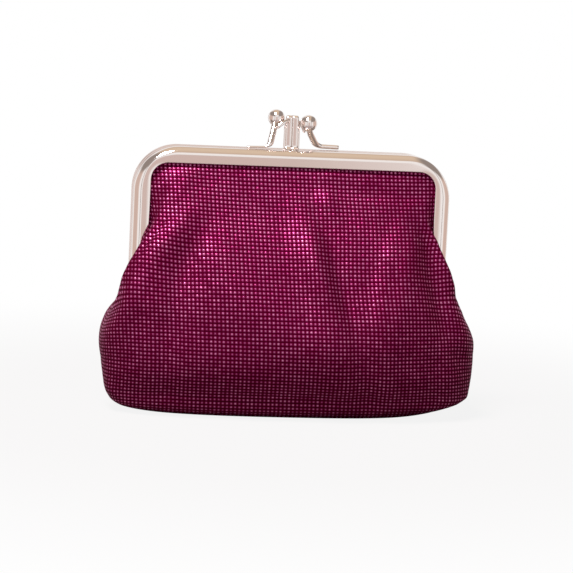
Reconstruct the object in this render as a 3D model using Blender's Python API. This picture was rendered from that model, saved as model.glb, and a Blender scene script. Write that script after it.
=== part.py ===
"""Kiss lock coin purse with two pockets, for Blender 4.5.

Three rolled channel frames turn on one pair of hinge rivets. The middle frame carries the divider and the
catch, and each outer frame carries a ball post and one side of the cloth pouch. Cloth is one piece from the
channel to the bottom seam; as solids it is cut at the hinge line, where it folds when a frame swings.

Metres, +Z up. The purse stands on its flat bottom, its front looks along -Y, and the origin is under the
middle of that bottom. Swinging pieces are parented to an empty on the hinge axis.
"""

from dataclasses import dataclass
from math import acos, atan2, cos, hypot, pi, radians, sin, sqrt

import bmesh
import bpy
import numpy as np
from mathutils import Vector

# Clearances
METAL_GAP = 0.0003
CLOTH_GAP = 0.0002
SEAT_GAP = 0.0002
HINGE_CLEARANCE = 0.00009
CUT_OVERRUN = 0.001

# Frames: an upside-down U outline, rolled from strip into a channel that opens inwards
FRAME_WIDTH = 0.085
FRAME_TOP_Z = 0.0715
CORNER_RADIUS = 0.012
FLANGE_REACH = 0.0044
CHANNEL_WIDTH = 0.0042
FRAME_WALL = 0.0006
SHOULDER_RADIUS = 0.0025
EDGE_RADIUS = 0.0007
CORNER_STEPS = 8
SHOULDER_STEPS = 4
EDGE_STEPS = 1

# Hinges: flattened ears side by side on a rivet
HINGE_Z = 0.0305
BAR_END_RISE = 0.0032
EAR_RADIUS = 0.0022
EAR_THICKNESS = 0.0007
EAR_INSET = 0.0002
EAR_LAP = 0.0022
EAR_NECK = 0.0024
EAR_STEPS = 14
RIVET_RADIUS = 0.0008
RIVET_HEAD_RADIUS = 0.0018
RIVET_HEAD_HEIGHT = 0.0006
RIVET_TAIL_RADIUS = 0.0014
RIVET_TAIL_HEIGHT = 0.0005
RIVET_CROWN_SHARE = 0.55
RIVET_SIDES = 16

# Clasp: two ball posts and the catch between them
BALL_RADIUS = 0.00225
BALL_SIDES = 16
BALL_RINGS = 10
BORE_DEPTH = 0.0015
BORE_SIDES = 12
POST_RADIUS = 0.00075
POST_TIP_RADIUS = 0.00055
POST_SIDES = 10
BEND_LEG = 0.0016
BEND_STEPS = 4
CATCH_HALF_WIDTH = 0.0017
CATCH_HEIGHT = 0.0092
CATCH_CORE_HALF = 0.0003
CATCH_RIB_HEIGHT = 0.00045
CATCH_RIB_STEPS = 6
CATCH_CROWN_HEIGHT = 0.0008
CATCH_FLANGE_HALF_WIDTH = 0.0022
CATCH_FLANGE_HALF_DEPTH = 0.0004
CATCH_FLANGE_SHARE = 0.68
CATCH_CROWN_LEVEL_SHARES = (0.0, 0.55, 1.0)
CATCH_CROWN_WIDTH_SHARES = (1.0, 0.95, 0.84)
ARM_HALF_DEPTH = 0.00065
ARM_ROOT_THICKNESS = 0.0016
ARM_TIP_THICKNESS = 0.00045
ARM_ROOT_LAP = 0.0008
ARM_ROOT_ANGLE = radians(25.0)
ARM_TIP_ANGLE = radians(78.0)
ARM_TAPER = 1.6
ARM_STEPS = 6

# Cloth
POUCH_WIDTH = 0.0986
POUCH_DEPTH = 0.0390
PANEL_THICKNESS = 0.0006
LINING_THICKNESS = 0.0004
DIVIDER_THICKNESS = 0.0006
SEAM_HALF_GAP = 0.0001
LOWER_TOP_RISE = 0.0010
SEAM_DIP = 0.0040
SEAM_DIP_ANGLE = radians(22.0)
LIP_CLEARANCE = 0.0004
CHANNEL_GRIP = 0.0021
LINING_GRIP = 0.0013
LINING_TUCK = 0.0012
LINING_SWING_CLEARANCE = 0.0006
WAIST_CLEARANCE = 0.0004
ROLL_INSET = 0.0015
ROLL_TIP_DEPTH = 0.0015
MUFFIN_START_SHARE = 0.80
MUFFIN_FULL_SHARE = 0.643

# Cord that jams the cloth in each channel
CORD_RADIUS = 0.0005
MIDDLE_CORD_RADIUS = 0.0004
CORD_INSET = 0.0018
CORD_SIDES = 6

# The pouch's outline, as shares of the frame's top height, of half the width and of half the depth
FIGURE_LEVEL_SHARES = (
    0.0, 0.017, 0.048, 0.09, 0.147, 0.21, 0.273, 0.335, 0.39, 0.44,
    0.49, 0.54, 0.587, 0.643, 0.70, 0.755, 0.81, 0.86, 0.90, 0.93,
)
FIGURE_WIDTH_SHARES = (
    0.65, 0.82, 0.925, 0.97, 0.99, 1.0, 1.0, 0.986, 0.95, 0.915,
    0.888, 0.852, 0.82, 0.79, 0.771, 0.76, 0.76, 0.76, 0.76, 0.76,
)
FIGURE_DEPTH_SHARES = (
    0.46, 0.615, 0.75, 0.86, 0.95, 0.99, 1.0, 0.975, 0.944, 0.903,
    0.862, 0.815, 0.77, 0.713, 0.651, 0.585, 0.513, 0.446, 0.38, 0.297,
)
LOWER_ROW_SHARES = (0.39, 0.335, 0.273, 0.21, 0.147, 0.09, 0.048, 0.017, 0.0)
LOWER_GROOVE_SHARES = (0.009, 0.02, 0.02, 0.012, 0.004, 0.0, 0.0, 0.0, 0.0, 0.0)
LOWER_BOX_POWERS = (3.4, 3.0, 2.8, 2.6, 2.6, 2.6, 2.6, 2.6, 2.6, 2.6)
BOTTOM_SEAM_SHARE = 0.57
UPPER_ROW_SHARES = (0.0, 0.085, 0.18, 0.27, 0.38, 0.46, 0.535, 0.61, 0.70, 0.79, 0.86)
MUFFIN_ANGLES = tuple(radians(a) for a in (20.0, 31.0, 43.0, 55.0, 67.0, 79.0, 90.0))
MUFFIN_POWER = 3.4
FIELD_SHARES = (1.0, 0.99, 0.965, 0.92, 0.84, 0.72, 0.56, 0.38, 0.19, 0.0)
FIELD_RISE = 2.6
FIELD_FALL = 1.8
LINING_DEPTH_SHARES = (0.38, 0.385, 0.37, 0.35, 0.325, 0.29)
LINING_DEPTH_LEVEL_SHARES = (0.62, 0.66, 0.72, 0.80, 0.86, 0.90)

# Sizes that follow from those above
HALF_WIDTH = FRAME_WIDTH / 2
FRAME_PITCH = CHANNEL_WIDTH + METAL_GAP
CORNER_Z = FRAME_TOP_Z - CORNER_RADIUS
BAR_END_Z = HINGE_Z + BAR_END_RISE
EAR_TOP_Z = BAR_END_Z + EAR_LAP
LOWER_TOP_Z = HINGE_Z + LOWER_TOP_RISE
HOLE_RADIUS = RIVET_RADIUS + HINGE_CLEARANCE
EAR_STEP = EAR_THICKNESS + METAL_GAP
EAR_OUTER_X = HALF_WIDTH - EAR_INSET
FRONT_FACE_Y = -FRAME_PITCH - CHANNEL_WIDTH / 2
PANEL_PLANE_Y = FRONT_FACE_Y + FRAME_WALL + CLOTH_GAP
LINING_PLANE_Y = PANEL_PLANE_Y + PANEL_THICKNESS + CLOTH_GAP
CORD_Y = LINING_PLANE_Y + LINING_THICKNESS + CLOTH_GAP + CORD_RADIUS
UPPER_BOTTOM_Z = LOWER_TOP_Z + METAL_GAP
UPPER_TOP_Z = FRAME_TOP_Z - CHANNEL_GRIP
CHANNEL_CLOTH_Z = EAR_TOP_Z + LIP_CLEARANCE
WAIST_X = EAR_OUTER_X - 3 * EAR_THICKNESS - 3 * METAL_GAP - RIVET_TAIL_HEIGHT - WAIST_CLEARANCE


@dataclass(frozen=True)
class Post:
    """One ball post: where its foot lies and where its knee and ball stand, heights from the frame's top."""

    foot_end_x: float
    bend_x: float
    foot_y: float
    foot_thickness: float
    foot_half_width: float
    knee_offset: tuple
    ball_offset: tuple

    def knee(self):
        """Where the post turns towards its ball."""
        return Vector(self.knee_offset) + Vector((0, 0, FRAME_TOP_Z))

    def ball(self):
        """The ball's centre."""
        return Vector(self.ball_offset) + Vector((0, 0, FRAME_TOP_Z))


FRONT_POST = Post(
    foot_end_x=-0.0121,
    bend_x=-0.0067,
    foot_y=-0.0034,
    foot_thickness=0.0008,
    foot_half_width=0.0007,
    knee_offset=(-0.0051, -0.0011, 0.0050),
    ball_offset=(-0.00415, 0.0011, 0.0084),
)
REAR_POST = Post(
    foot_end_x=0.0132,
    bend_x=0.0073,
    foot_y=0.0034,
    foot_thickness=0.0012,
    foot_half_width=0.0007,
    knee_offset=(0.0053, 0.0012, 0.0047),
    ball_offset=(0.00465, -0.0011, 0.0075),
)


# Building blocks


def clear_scene():
    """Removes whatever the scene holds."""
    for obj in list(bpy.data.objects):
        bpy.data.objects.remove(obj, do_unlink=True)


def make_material(name, color, roughness, metallic):
    """A Principled material with the piece's colour, roughness and metallic value."""
    material = bpy.data.materials.new(name)
    material.use_nodes = True
    shader = material.node_tree.nodes["Principled BSDF"]
    shader.inputs["Base Color"].default_value = (*color, 1.0)
    shader.inputs["Roughness"].default_value = roughness
    shader.inputs["Metallic"].default_value = metallic
    return material


def nickel(name):
    """Bright nickel plate."""
    return make_material(name + "_nickel", (0.80, 0.77, 0.75), 0.18, 1.0)


def foil_cloth(name):
    """Dark cloth with a magenta foil grid, at its average colour."""
    return make_material(name + "_cloth", (0.22, 0.01, 0.09), 0.45, 0.3)


def lining_cloth(name):
    """Plain black lining."""
    return make_material(name + "_lining", (0.02, 0.015, 0.02), 0.7, 0.0)


def paper(name):
    """Twisted paper cord."""
    return make_material(name + "_paper", (0.72, 0.66, 0.52), 0.9, 0.0)


def make_object(name, vertices, faces, material, axis=None, smooth_angle=radians(35.0)):
    """An object from world points and faces, hung on the empty of its axis if it has one."""
    origin = Vector((0, 0, 0)) if axis is None else axis.location
    mesh = bpy.data.meshes.new(name)
    mesh.from_pydata([Vector(v) - origin for v in vertices], [], faces)
    work = bmesh.new()
    work.from_mesh(mesh)
    bmesh.ops.recalc_face_normals(work, faces=work.faces)
    work.to_mesh(mesh)
    work.free()
    mesh.shade_smooth()
    mesh.set_sharp_from_angle(angle=smooth_angle)
    obj = bpy.data.objects.new(name, mesh)
    bpy.context.collection.objects.link(obj)
    obj.parent = axis
    obj.data.materials.append(material)
    return obj


def combine(target, tool, operation):
    """Joins a tool to an object, or cuts it away, and removes the tool."""
    modifier = target.modifiers.new(operation.lower(), "BOOLEAN")
    modifier.operation = operation
    modifier.solver = "EXACT"
    modifier.object = tool
    bpy.context.view_layer.update()
    graph = bpy.context.evaluated_depsgraph_get()
    mesh = bpy.data.meshes.new_from_object(target.evaluated_get(graph))
    target.modifiers.remove(modifier)
    target.data = mesh
    bpy.data.objects.remove(tool, do_unlink=True)


def ring_faces(rings, sides, closed=True):
    """Faces between consecutive rings of points, with a cap at each end if the rings are closed."""
    faces = []
    span = sides if closed else sides - 1
    for ring in range(rings - 1):
        for side in range(span):
            step = (side + 1) % sides
            low = ring * sides
            high = low + sides
            faces.append((low + side, low + step, high + step, high + side))
    if closed:
        faces.append(tuple(range(sides)))
        faces.append(tuple((rings - 1) * sides + i for i in range(sides)))
    return faces


def extrude_outline(name, outline, place, low, high, material, axis=None):
    """A plate: an outline of (a, b) pairs, placed at a low and a high value of the third direction."""
    points = [place(a, b, low) for a, b in outline] + [place(a, b, high) for a, b in outline]
    return make_object(name, points, ring_faces(2, len(outline)), material, axis)


def arc(center, radius, start, end, steps):
    """Points on an arc, its ends included."""
    angles = [start + (end - start) * i / steps for i in range(steps + 1)]
    return [(center[0] + radius * cos(a), center[1] + radius * sin(a)) for a in angles]


def unit(vectors):
    """Each vector at length 1, and those of no length as they are."""
    lengths = np.linalg.norm(vectors, axis=2, keepdims=True)
    return np.divide(vectors, lengths, out=np.zeros_like(vectors), where=lengths > 0)


def mean_directions(grid, axis):
    """At each point, the sum of the directions of the steps before and after it."""
    steps = unit(np.diff(grid, axis=axis))
    before, after = [(0, 0)] * 3, [(0, 0)] * 3
    before[axis], after[axis] = (1, 0), (0, 1)
    return np.pad(steps, before, mode="edge") + np.pad(steps, after, mode="edge")


def offset_grid(grid, distance):
    """A grid of points moved inwards along its own normals. Columns run from +X to -X, rows downwards."""
    return grid + distance * unit(np.cross(mean_directions(grid, 0), mean_directions(grid, 1)))


def sheet(name, outer, inner, material, axis=None):
    """A cloth solid between an outer and an inner grid of points, closed around its rim."""
    rows, columns = outer.shape[:2]
    count = rows * columns
    faces = ring_faces(rows, columns, closed=False)
    faces += [tuple(count + i for i in face) for face in faces]
    rim = [i for i in range(columns)]
    rim += [i * columns + columns - 1 for i in range(1, rows)]
    rim += [(rows - 1) * columns + i for i in range(columns - 2, -1, -1)]
    rim += [i * columns for i in range(rows - 2, 0, -1)]
    for here, there in zip(rim, rim[1:] + rim[:1]):
        faces.append((here, there, count + there, count + here))
    points = np.concatenate([outer.reshape(-1, 3), inner.reshape(-1, 3)])
    return make_object(name, points.tolist(), faces, material, axis)


def mirror_y(grid):
    """The same grid on the purse's other side."""
    return grid * np.array([1.0, -1.0, 1.0])


# Frames and hinges


def half_width_at(inset, z):
    """Half the width of the frame's outline, drawn in by an inset, at a height."""
    rise = max(z - CORNER_Z, 0.0)
    return HALF_WIDTH - CORNER_RADIUS + sqrt(max((CORNER_RADIUS - inset) ** 2 - rise**2, 0.0))


def outline_stations(bottom_z):
    """Points and outward directions along the frame's outline, from the left bar's end to the right's."""
    center_x = HALF_WIDTH - CORNER_RADIUS
    angles = [pi] + [pi - pi / 2 * i / CORNER_STEPS for i in range(CORNER_STEPS + 1)]
    angles += [pi / 2 - pi / 2 * i / CORNER_STEPS for i in range(CORNER_STEPS + 1)] + [0.0]
    stations = []
    for index, angle in enumerate(angles):
        side = -1 if index < len(angles) / 2 else 1
        z = CORNER_Z + CORNER_RADIUS * sin(angle)
        if index in (0, len(angles) - 1):
            z = bottom_z
        x = side * center_x + CORNER_RADIUS * cos(angle)
        stations.append(((x, z), (cos(angle), sin(angle))))
    return stations


def channel_section(front_radius, rear_radius):
    """The channel's section as (distance from the lip, y) pairs, with a rounded shoulder at each side."""
    half = CHANNEL_WIDTH / 2
    steps = {SHOULDER_RADIUS: SHOULDER_STEPS}
    outer = [(0.0, -half)]
    inner = [(0.0, -half + FRAME_WALL)]
    for sign, radius in ((-1, front_radius), (1, rear_radius)):
        center = (FLANGE_REACH - radius, sign * (half - radius))
        turn = steps.get(radius, EDGE_STEPS)
        start, end = (-pi / 2, 0.0) if sign < 0 else (0.0, pi / 2)
        outer += arc(center, radius, start, end, turn)
        inner += arc(center, radius - FRAME_WALL, start, end, turn)
    outer.append((0.0, half))
    inner.append((0.0, half - FRAME_WALL))
    return outer + inner[::-1]


def sweep_section(name, section, inset_of_zero, center_y, bottom_z, material, axis=None):
    """Carries a section along the frame's outline."""
    points = []
    for (x, z), (nx, nz) in outline_stations(bottom_z):
        for n, y in section:
            reach = n - inset_of_zero
            points.append((x + reach * nx, center_y + y, z + reach * nz))
    return make_object(name, points, ring_faces(len(points) // len(section), len(section)), material, axis)


def tangent_angle(point, radius, side):
    """Direction from the axis to where the line from a point touches a circle around the axis."""
    return atan2(point[1], point[0]) + side * acos(radius / hypot(*point))


def outer_ear_outline(side):
    """Ear of the front (-1) or rear (1) frame as (y, z) pairs: a round eye and a neck up into the bar."""
    inner_y = FRAME_PITCH - CHANNEL_WIDTH / 2 + EAR_INSET
    outer_y = inner_y + EAR_NECK
    shoulder = (inner_y, BAR_END_RISE - METAL_GAP - EAR_INSET)
    heel = (outer_y, BAR_END_RISE - METAL_GAP)
    start = tangent_angle(shoulder, EAR_RADIUS, 1)
    end = tangent_angle(heel, EAR_RADIUS, -1) + 2 * pi
    outline = [heel, (outer_y, BAR_END_RISE + EAR_LAP), (inner_y, BAR_END_RISE + EAR_LAP), shoulder]
    outline += arc((0, 0), EAR_RADIUS, start, end, EAR_STEPS)
    return [(side * y, HINGE_Z + z) for y, z in outline]


def middle_ear_outline():
    """Ear of the middle frame, straight below its bar."""
    half = CHANNEL_WIDTH / 2 - EAR_INSET
    start = pi - acos(half / EAR_RADIUS)
    end = 2 * pi + acos(half / EAR_RADIUS)
    outline = [(half, BAR_END_RISE + EAR_LAP), (-half, BAR_END_RISE + EAR_LAP)]
    outline += arc((0, 0), EAR_RADIUS, start, end, EAR_STEPS)
    return [(y, HINGE_Z + z) for y, z in outline]


def add_ears(frame, outline, order):
    """Joins an ear to each bar, in its own place in the stack, and drills both for the rivets."""
    outer_x = EAR_OUTER_X - order * EAR_STEP
    for side in (-1, 1):
        near, far = side * (outer_x - EAR_THICKNESS), side * outer_x
        ear = extrude_outline("ear", outline, lambda y, z, x: (x, y, z), near, far, frame.data.materials[0])
        combine(frame, ear, "UNION")
        hole = arc((0, HINGE_Z), HOLE_RADIUS, 0.0, 2 * pi * (1 - 1 / RIVET_SIDES), RIVET_SIDES - 1)
        drill = extrude_outline(
            "drill",
            hole,
            lambda y, z, x: (x, y, z),
            near - side * CUT_OVERRUN,
            far + side * CUT_OVERRUN,
            frame.data.materials[0],
        )
        combine(frame, drill, "DIFFERENCE")


def build_frame(name, center_y, radii, ear_outline, order, axis=None):
    """One frame: the rolled channel with its two ears. Its mesh is built in place, then hung on its axis."""
    section = channel_section(*radii)
    frame = sweep_section(name, section, FLANGE_REACH, center_y, BAR_END_Z, nickel(name))
    add_ears(frame, ear_outline, order)
    if axis is not None:
        for vertex in frame.data.vertices:
            vertex.co -= axis.location
        frame.parent = axis
    return frame


def build_rivet(name, side):
    """A rivet turned about X: a low domed head outside, a shaft through the ears, a spread tail inside."""
    head_x = EAR_OUTER_X + METAL_GAP
    tail_x = EAR_OUTER_X - 3 * EAR_THICKNESS - 3 * METAL_GAP
    crown = RIVET_CROWN_SHARE
    profile = [
        (tail_x - RIVET_TAIL_HEIGHT, RIVET_TAIL_RADIUS * crown),
        (tail_x - RIVET_TAIL_HEIGHT * crown, RIVET_TAIL_RADIUS),
        (tail_x, RIVET_TAIL_RADIUS),
        (tail_x, RIVET_RADIUS),
        (head_x, RIVET_RADIUS),
        (head_x, RIVET_HEAD_RADIUS),
        (head_x + RIVET_HEAD_HEIGHT * crown, RIVET_HEAD_RADIUS * (1 + crown) / 2),
        (head_x + RIVET_HEAD_HEIGHT, RIVET_HEAD_RADIUS * crown),
    ]
    points = []
    for x, radius in profile:
        for index in range(RIVET_SIDES):
            angle = 2 * pi * index / RIVET_SIDES
            points.append((side * x, radius * cos(angle), HINGE_Z + radius * sin(angle)))
    return make_object(name, points, ring_faces(len(profile), RIVET_SIDES), nickel(name))


# Clasp


def ellipse_ring(center, tangent, side_radius, up_radius):
    """A ring square to a tangent, measured across the purse's front-to-back direction and square to it."""
    across = Vector((0, 1, 0))
    across = (across - across.dot(tangent) * tangent).normalized()
    up = tangent.cross(across)
    ring = []
    for index in range(POST_SIDES):
        angle = 2 * pi * index / POST_SIDES
        ring.append(center + across * side_radius * cos(angle) + up * up_radius * sin(angle))
    return ring


def build_post(name, post, axis):
    """A post bent up from its flattened foot and leaning to its ball, with a thinner tip for the bore."""
    foot_z = FRAME_TOP_Z + SEAT_GAP + post.foot_thickness / 2
    foot_end = Vector((post.foot_end_x, post.foot_y, foot_z))
    corner = Vector((post.bend_x, post.foot_y, foot_z))
    knee = post.knee()
    ball = post.ball()
    along = (corner - foot_end).normalized()
    rise = (knee - corner).normalized()
    reach = (ball - knee).normalized()
    foot = (post.foot_half_width, post.foot_thickness / 2)
    round_post = (POST_RADIUS, POST_RADIUS)
    tip = (POST_TIP_RADIUS, POST_TIP_RADIUS)
    stations = [(foot_end, along, foot)]
    start = corner - along * BEND_LEG
    finish = corner + rise * BEND_LEG
    for index in range(BEND_STEPS + 1):
        t = index / BEND_STEPS
        center = start * (1 - t) ** 2 + corner * 2 * t * (1 - t) + finish * t**2
        tangent = (along * (1 - t) + rise * t).normalized()
        radii = tuple(a + (b - a) * t for a, b in zip(foot, round_post))
        lift = max(radii[1] - foot[1], 0.0) * (1 - t)
        stations.append((center + Vector((0, 0, lift)), tangent, radii))
    neck = ball - reach * (BALL_RADIUS + SEAT_GAP)
    stations += [
        (knee, (rise + reach).normalized(), round_post),
        (neck, reach, round_post),
        (neck, reach, tip),
        (ball - reach * (BALL_RADIUS - BORE_DEPTH + SEAT_GAP), reach, tip),
    ]
    points = []
    for center, tangent, radii in stations:
        points += ellipse_ring(center, tangent, *radii)
    return make_object(name, points, ring_faces(len(stations), POST_SIDES), nickel(name), axis)


def build_ball(name, post, axis):
    """A bead with a blind bore, in line with the top of its post."""
    ball = post.ball()
    reach = (ball - post.knee()).normalized()
    work = bmesh.new()
    bmesh.ops.create_uvsphere(work, u_segments=BALL_SIDES, v_segments=BALL_RINGS, radius=BALL_RADIUS)
    points = [ball + v.co for v in work.verts]
    faces = [tuple(v.index for v in face.verts) for face in work.faces]
    work.free()
    bead = make_object(name, points, faces, nickel(name))
    ring = []
    for distance in (BALL_RADIUS - BORE_DEPTH, BALL_RADIUS + CUT_OVERRUN):
        for index in range(BORE_SIDES):
            angle = 2 * pi * index / BORE_SIDES
            radius = POST_TIP_RADIUS + SEAT_GAP
            side = reach.orthogonal().normalized()
            up = reach.cross(side)
            ring.append(ball - reach * distance + side * radius * cos(angle) + up * radius * sin(angle))
    drill = make_object("drill", ring, ring_faces(2, BORE_SIDES), bead.data.materials[0])
    combine(bead, drill, "DIFFERENCE")
    for vertex in bead.data.vertices:
        vertex.co -= axis.location
    bead.parent = axis
    return bead


def catch_section(width_share):
    """Two half-round ribs side by side as (x, y) pairs, drawn in by a share."""
    center = CATCH_HALF_WIDTH / 2
    xs = [
        side * center + center * cos(pi * (1 - i / CATCH_RIB_STEPS))
        for side in (-1, 1)
        for i in range(CATCH_RIB_STEPS + (side > 0))
    ]
    half = []
    for x in xs:
        across = (abs(x) - center) / center
        half.append(CATCH_CORE_HALF + CATCH_RIB_HEIGHT * sqrt(max(1 - across**2, 0.0)))
    front = [(x * width_share, -y * width_share) for x, y in zip(xs, half)]
    rear = [(x * width_share, y * width_share) for x, y in zip(xs[::-1], half[::-1])]
    return front + rear


def arm_outline(ball):
    """One arm as (x, z) pairs: its upper edge cradles the ball at the metal gap, its lower edge tapers."""
    side = 1 if ball.x > 0 else -1
    clear = BALL_RADIUS + METAL_GAP
    outline = [(side * (CATCH_HALF_WIDTH - ARM_ROOT_LAP), ball.z)]
    for index in range(ARM_STEPS + 1):
        angle = ARM_TIP_ANGLE * index / ARM_STEPS
        outline.append((ball.x - side * clear * cos(angle), ball.z - clear * sin(angle)))
    for index in range(ARM_STEPS + 1):
        share = index / ARM_STEPS
        angle = ARM_TIP_ANGLE + (ARM_ROOT_ANGLE - ARM_TIP_ANGLE) * share
        thick = ARM_TIP_THICKNESS + (ARM_ROOT_THICKNESS - ARM_TIP_THICKNESS) * share**ARM_TAPER
        radius = clear + thick
        outline.append((ball.x - side * radius * cos(angle), ball.z - radius * sin(angle)))
    return outline


def build_catch(name):
    """The catch on the middle frame: a ribbed upright with a rounded top and an arm under each ball."""
    levels = [(FRAME_TOP_Z + SEAT_GAP, 1.0)]
    for level, width in zip(CATCH_CROWN_LEVEL_SHARES, CATCH_CROWN_WIDTH_SHARES):
        levels.append((FRAME_TOP_Z + CATCH_HEIGHT - CATCH_CROWN_HEIGHT * (1 - level), width))
    points = []
    for z, width in levels:
        section = catch_section(width)
        points += [(x, y, z) for x, y in section]
    catch = make_object(name, points, ring_faces(len(levels), len(section)), nickel(name))
    wide, deep = CATCH_FLANGE_HALF_WIDTH, CATCH_FLANGE_HALF_DEPTH
    flange = extrude_outline(
        "flange",
        [(-wide, -deep), (wide, -deep), (wide, deep), (-wide, deep)],
        lambda x, y, z: (x, y, z),
        FRAME_TOP_Z + SEAT_GAP,
        FRAME_TOP_Z + CATCH_FLANGE_SHARE * CATCH_HEIGHT,
        catch.data.materials[0],
    )
    combine(catch, flange, "UNION")
    for post in (FRONT_POST, REAR_POST):
        arm = extrude_outline(
            "arm",
            arm_outline(post.ball()),
            lambda x, z, y: (x, y, z),
            -ARM_HALF_DEPTH,
            ARM_HALF_DEPTH,
            catch.data.materials[0],
        )
        combine(catch, arm, "UNION")
    return catch


# Cloth


def figure(shares, z):
    """A value of the pouch's outline at a height."""
    return float(np.interp(z / FRAME_TOP_Z, FIGURE_LEVEL_SHARES, shares))


def pouch_half_width(z):
    """Half the pouch's width at a height."""
    return POUCH_WIDTH / 2 * figure(FIGURE_WIDTH_SHARES, z)


def pouch_half_depth(z):
    """How far the pouch's front stands from the middle at a height."""
    return POUCH_DEPTH / 2 * figure(FIGURE_DEPTH_SHARES, z)


def whole_row(half):
    """A full row from its right half: the last point is on the middle line."""
    left = [(-x, y, z) for x, y, z in half[-2::-1]]
    return half + left


def lower_row(z, half_width, half_depth, power, groove, dip):
    """One level of the lower panel, from the right side seam to the left: a rounded box in plan."""
    angles = np.linspace(0.0, pi / 2, 12)
    half = []
    for angle in angles:
        near_seam = np.exp(-((angle / SEAM_DIP_ANGLE) ** 2))
        across = max(cos(angle), 0.0) ** (2 / power)
        forward = max(sin(angle), 0.0) ** (2 / power)
        x = (half_width - groove * near_seam) * across
        y = -(SEAM_HALF_GAP + (half_depth - SEAM_HALF_GAP) * forward)
        half.append((x, y, z - dip * near_seam))
    half[-1] = (0.0, half[-1][1], half[-1][2])
    return whole_row(half)


def lower_panel_grid():
    """The lower panel's outer face, from the hinge line down and under to the bottom seam."""
    levels = [LOWER_TOP_Z] + [share * FRAME_TOP_Z for share in LOWER_ROW_SHARES]
    rows = []
    for index, z in enumerate(levels):
        dip = SEAM_DIP * max(1 - 2 * index / len(levels), 0.0)
        groove = LOWER_GROOVE_SHARES[index] * POUCH_WIDTH / 2
        power = LOWER_BOX_POWERS[index]
        rows.append(lower_row(z, pouch_half_width(z), pouch_half_depth(z), power, groove, dip))
    seam_half = BOTTOM_SEAM_SHARE * POUCH_WIDTH / 2
    rows.append(lower_row(0.0, seam_half, SEAM_HALF_GAP, LOWER_BOX_POWERS[-1], 0.0, 0.0))
    return np.array(rows)


def inner_lower_grid(grid, distance):
    """The lower panel's face moved inwards, with its sewn edges kept on the seam's plane."""
    inner = offset_grid(grid, distance)
    inner[:, 0, 1] = inner[:, -1, 1] = grid[:, 0, 1]
    inner[-1, :, 1] = grid[-1, :, 1]
    inner[-2:, :, 2] = distance
    inner[0, :, 2] = grid[0, :, 2]
    return inner


def muffin_row(z, lip_x, edge_x, plane_y):
    """One level low on the upper panel, where the cloth rolls out around the lip and over the bar."""
    half_width = pouch_half_width(z)
    half_depth = pouch_half_depth(z)
    clear_y = FRONT_FACE_Y - LIP_CLEARANCE
    half = [(edge_x, plane_y, z), (lip_x, plane_y, z), (lip_x - CLOTH_GAP, clear_y, z)]
    half.append((max(half_width - ROLL_INSET, lip_x), clear_y - CLOTH_GAP, z))
    for angle in MUFFIN_ANGLES:
        x = half_width * max(cos(angle), 0.0) ** (2 / MUFFIN_POWER)
        y = -half_depth * sin(angle) ** (2 / MUFFIN_POWER)
        half.append((x, min(y, clear_y - ROLL_TIP_DEPTH), z))
    half[-1] = (0.0, half[-1][1], z)
    return half


def field_row(z, lip_x, edge_x, plane_y, half_depth):
    """One level high on a panel: flat in the channel, then swelling to the middle."""
    half = [(edge_x, plane_y, z)]
    bulge = max(half_depth + plane_y, 0.0)
    for share in FIELD_SHARES:
        swell = (1 - share**FIELD_RISE) ** (1 / FIELD_FALL)
        half.append((lip_x * share, plane_y - bulge * swell, z))
    return half


def smooth_step(value, low, high):
    """0 at low, 1 at high, and smooth between."""
    t = min(max((value - low) / (high - low), 0.0), 1.0)
    return t * t * (3 - 2 * t)


def channel_rows(first_z, last_z, plane_y, grip, count):
    """Levels inside the top channel, where the cloth lies flat, its points even across."""
    rows = []
    for z in np.linspace(first_z, last_z, count):
        edge_x = half_width_at(grip, z)
        lip_x = edge_x - (edge_x - half_width_at(FLANGE_REACH, z)) / 2
        rows.append(field_row(float(z), lip_x, edge_x, plane_y, -plane_y))
    return rows


def upper_panel_grid():
    """The upper panel's outer face, from the channel down to the hinge line."""
    lip_inset = FLANGE_REACH + LIP_CLEARANCE
    lip_z = FRAME_TOP_Z - lip_inset
    rows = []
    for share in UPPER_ROW_SHARES:
        z = UPPER_BOTTOM_Z + share * (UPPER_TOP_Z - UPPER_BOTTOM_Z)
        lip_x = half_width_at(lip_inset, z)
        in_channel = z > CHANNEL_CLOTH_Z
        edge_x = half_width_at(CHANNEL_GRIP, z) if in_channel else WAIST_X
        high = field_row(z, lip_x, edge_x, PANEL_PLANE_Y, pouch_half_depth(z))
        low = muffin_row(z, lip_x, edge_x, PANEL_PLANE_Y)
        mix = smooth_step(z / FRAME_TOP_Z, MUFFIN_FULL_SHARE, MUFFIN_START_SHARE)
        row = [tuple(a + (b - a) * mix for a, b in zip(p, q)) for p, q in zip(low, high)]
        rows.append(row)
    rows += channel_rows(lip_z, UPPER_TOP_Z, PANEL_PLANE_Y, CHANNEL_GRIP, 3)
    return np.array([whole_row(row) for row in rows[::-1]])


def lining_half_depth(z):
    """How far the upper lining stands forward: inside the swing's circle low down, nearly straight above."""
    straight = POUCH_DEPTH / 2 * float(
        np.interp(z / FRAME_TOP_Z, LINING_DEPTH_LEVEL_SHARES, LINING_DEPTH_SHARES)
    )
    lower_face = pouch_half_depth(LOWER_TOP_Z) - PANEL_THICKNESS - CLOTH_GAP - LINING_THICKNESS
    radius = lower_face - LINING_SWING_CLEARANCE
    circle = sqrt(max(radius**2 - (z - HINGE_Z) ** 2, 0.0))
    return max(circle, straight)


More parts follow.
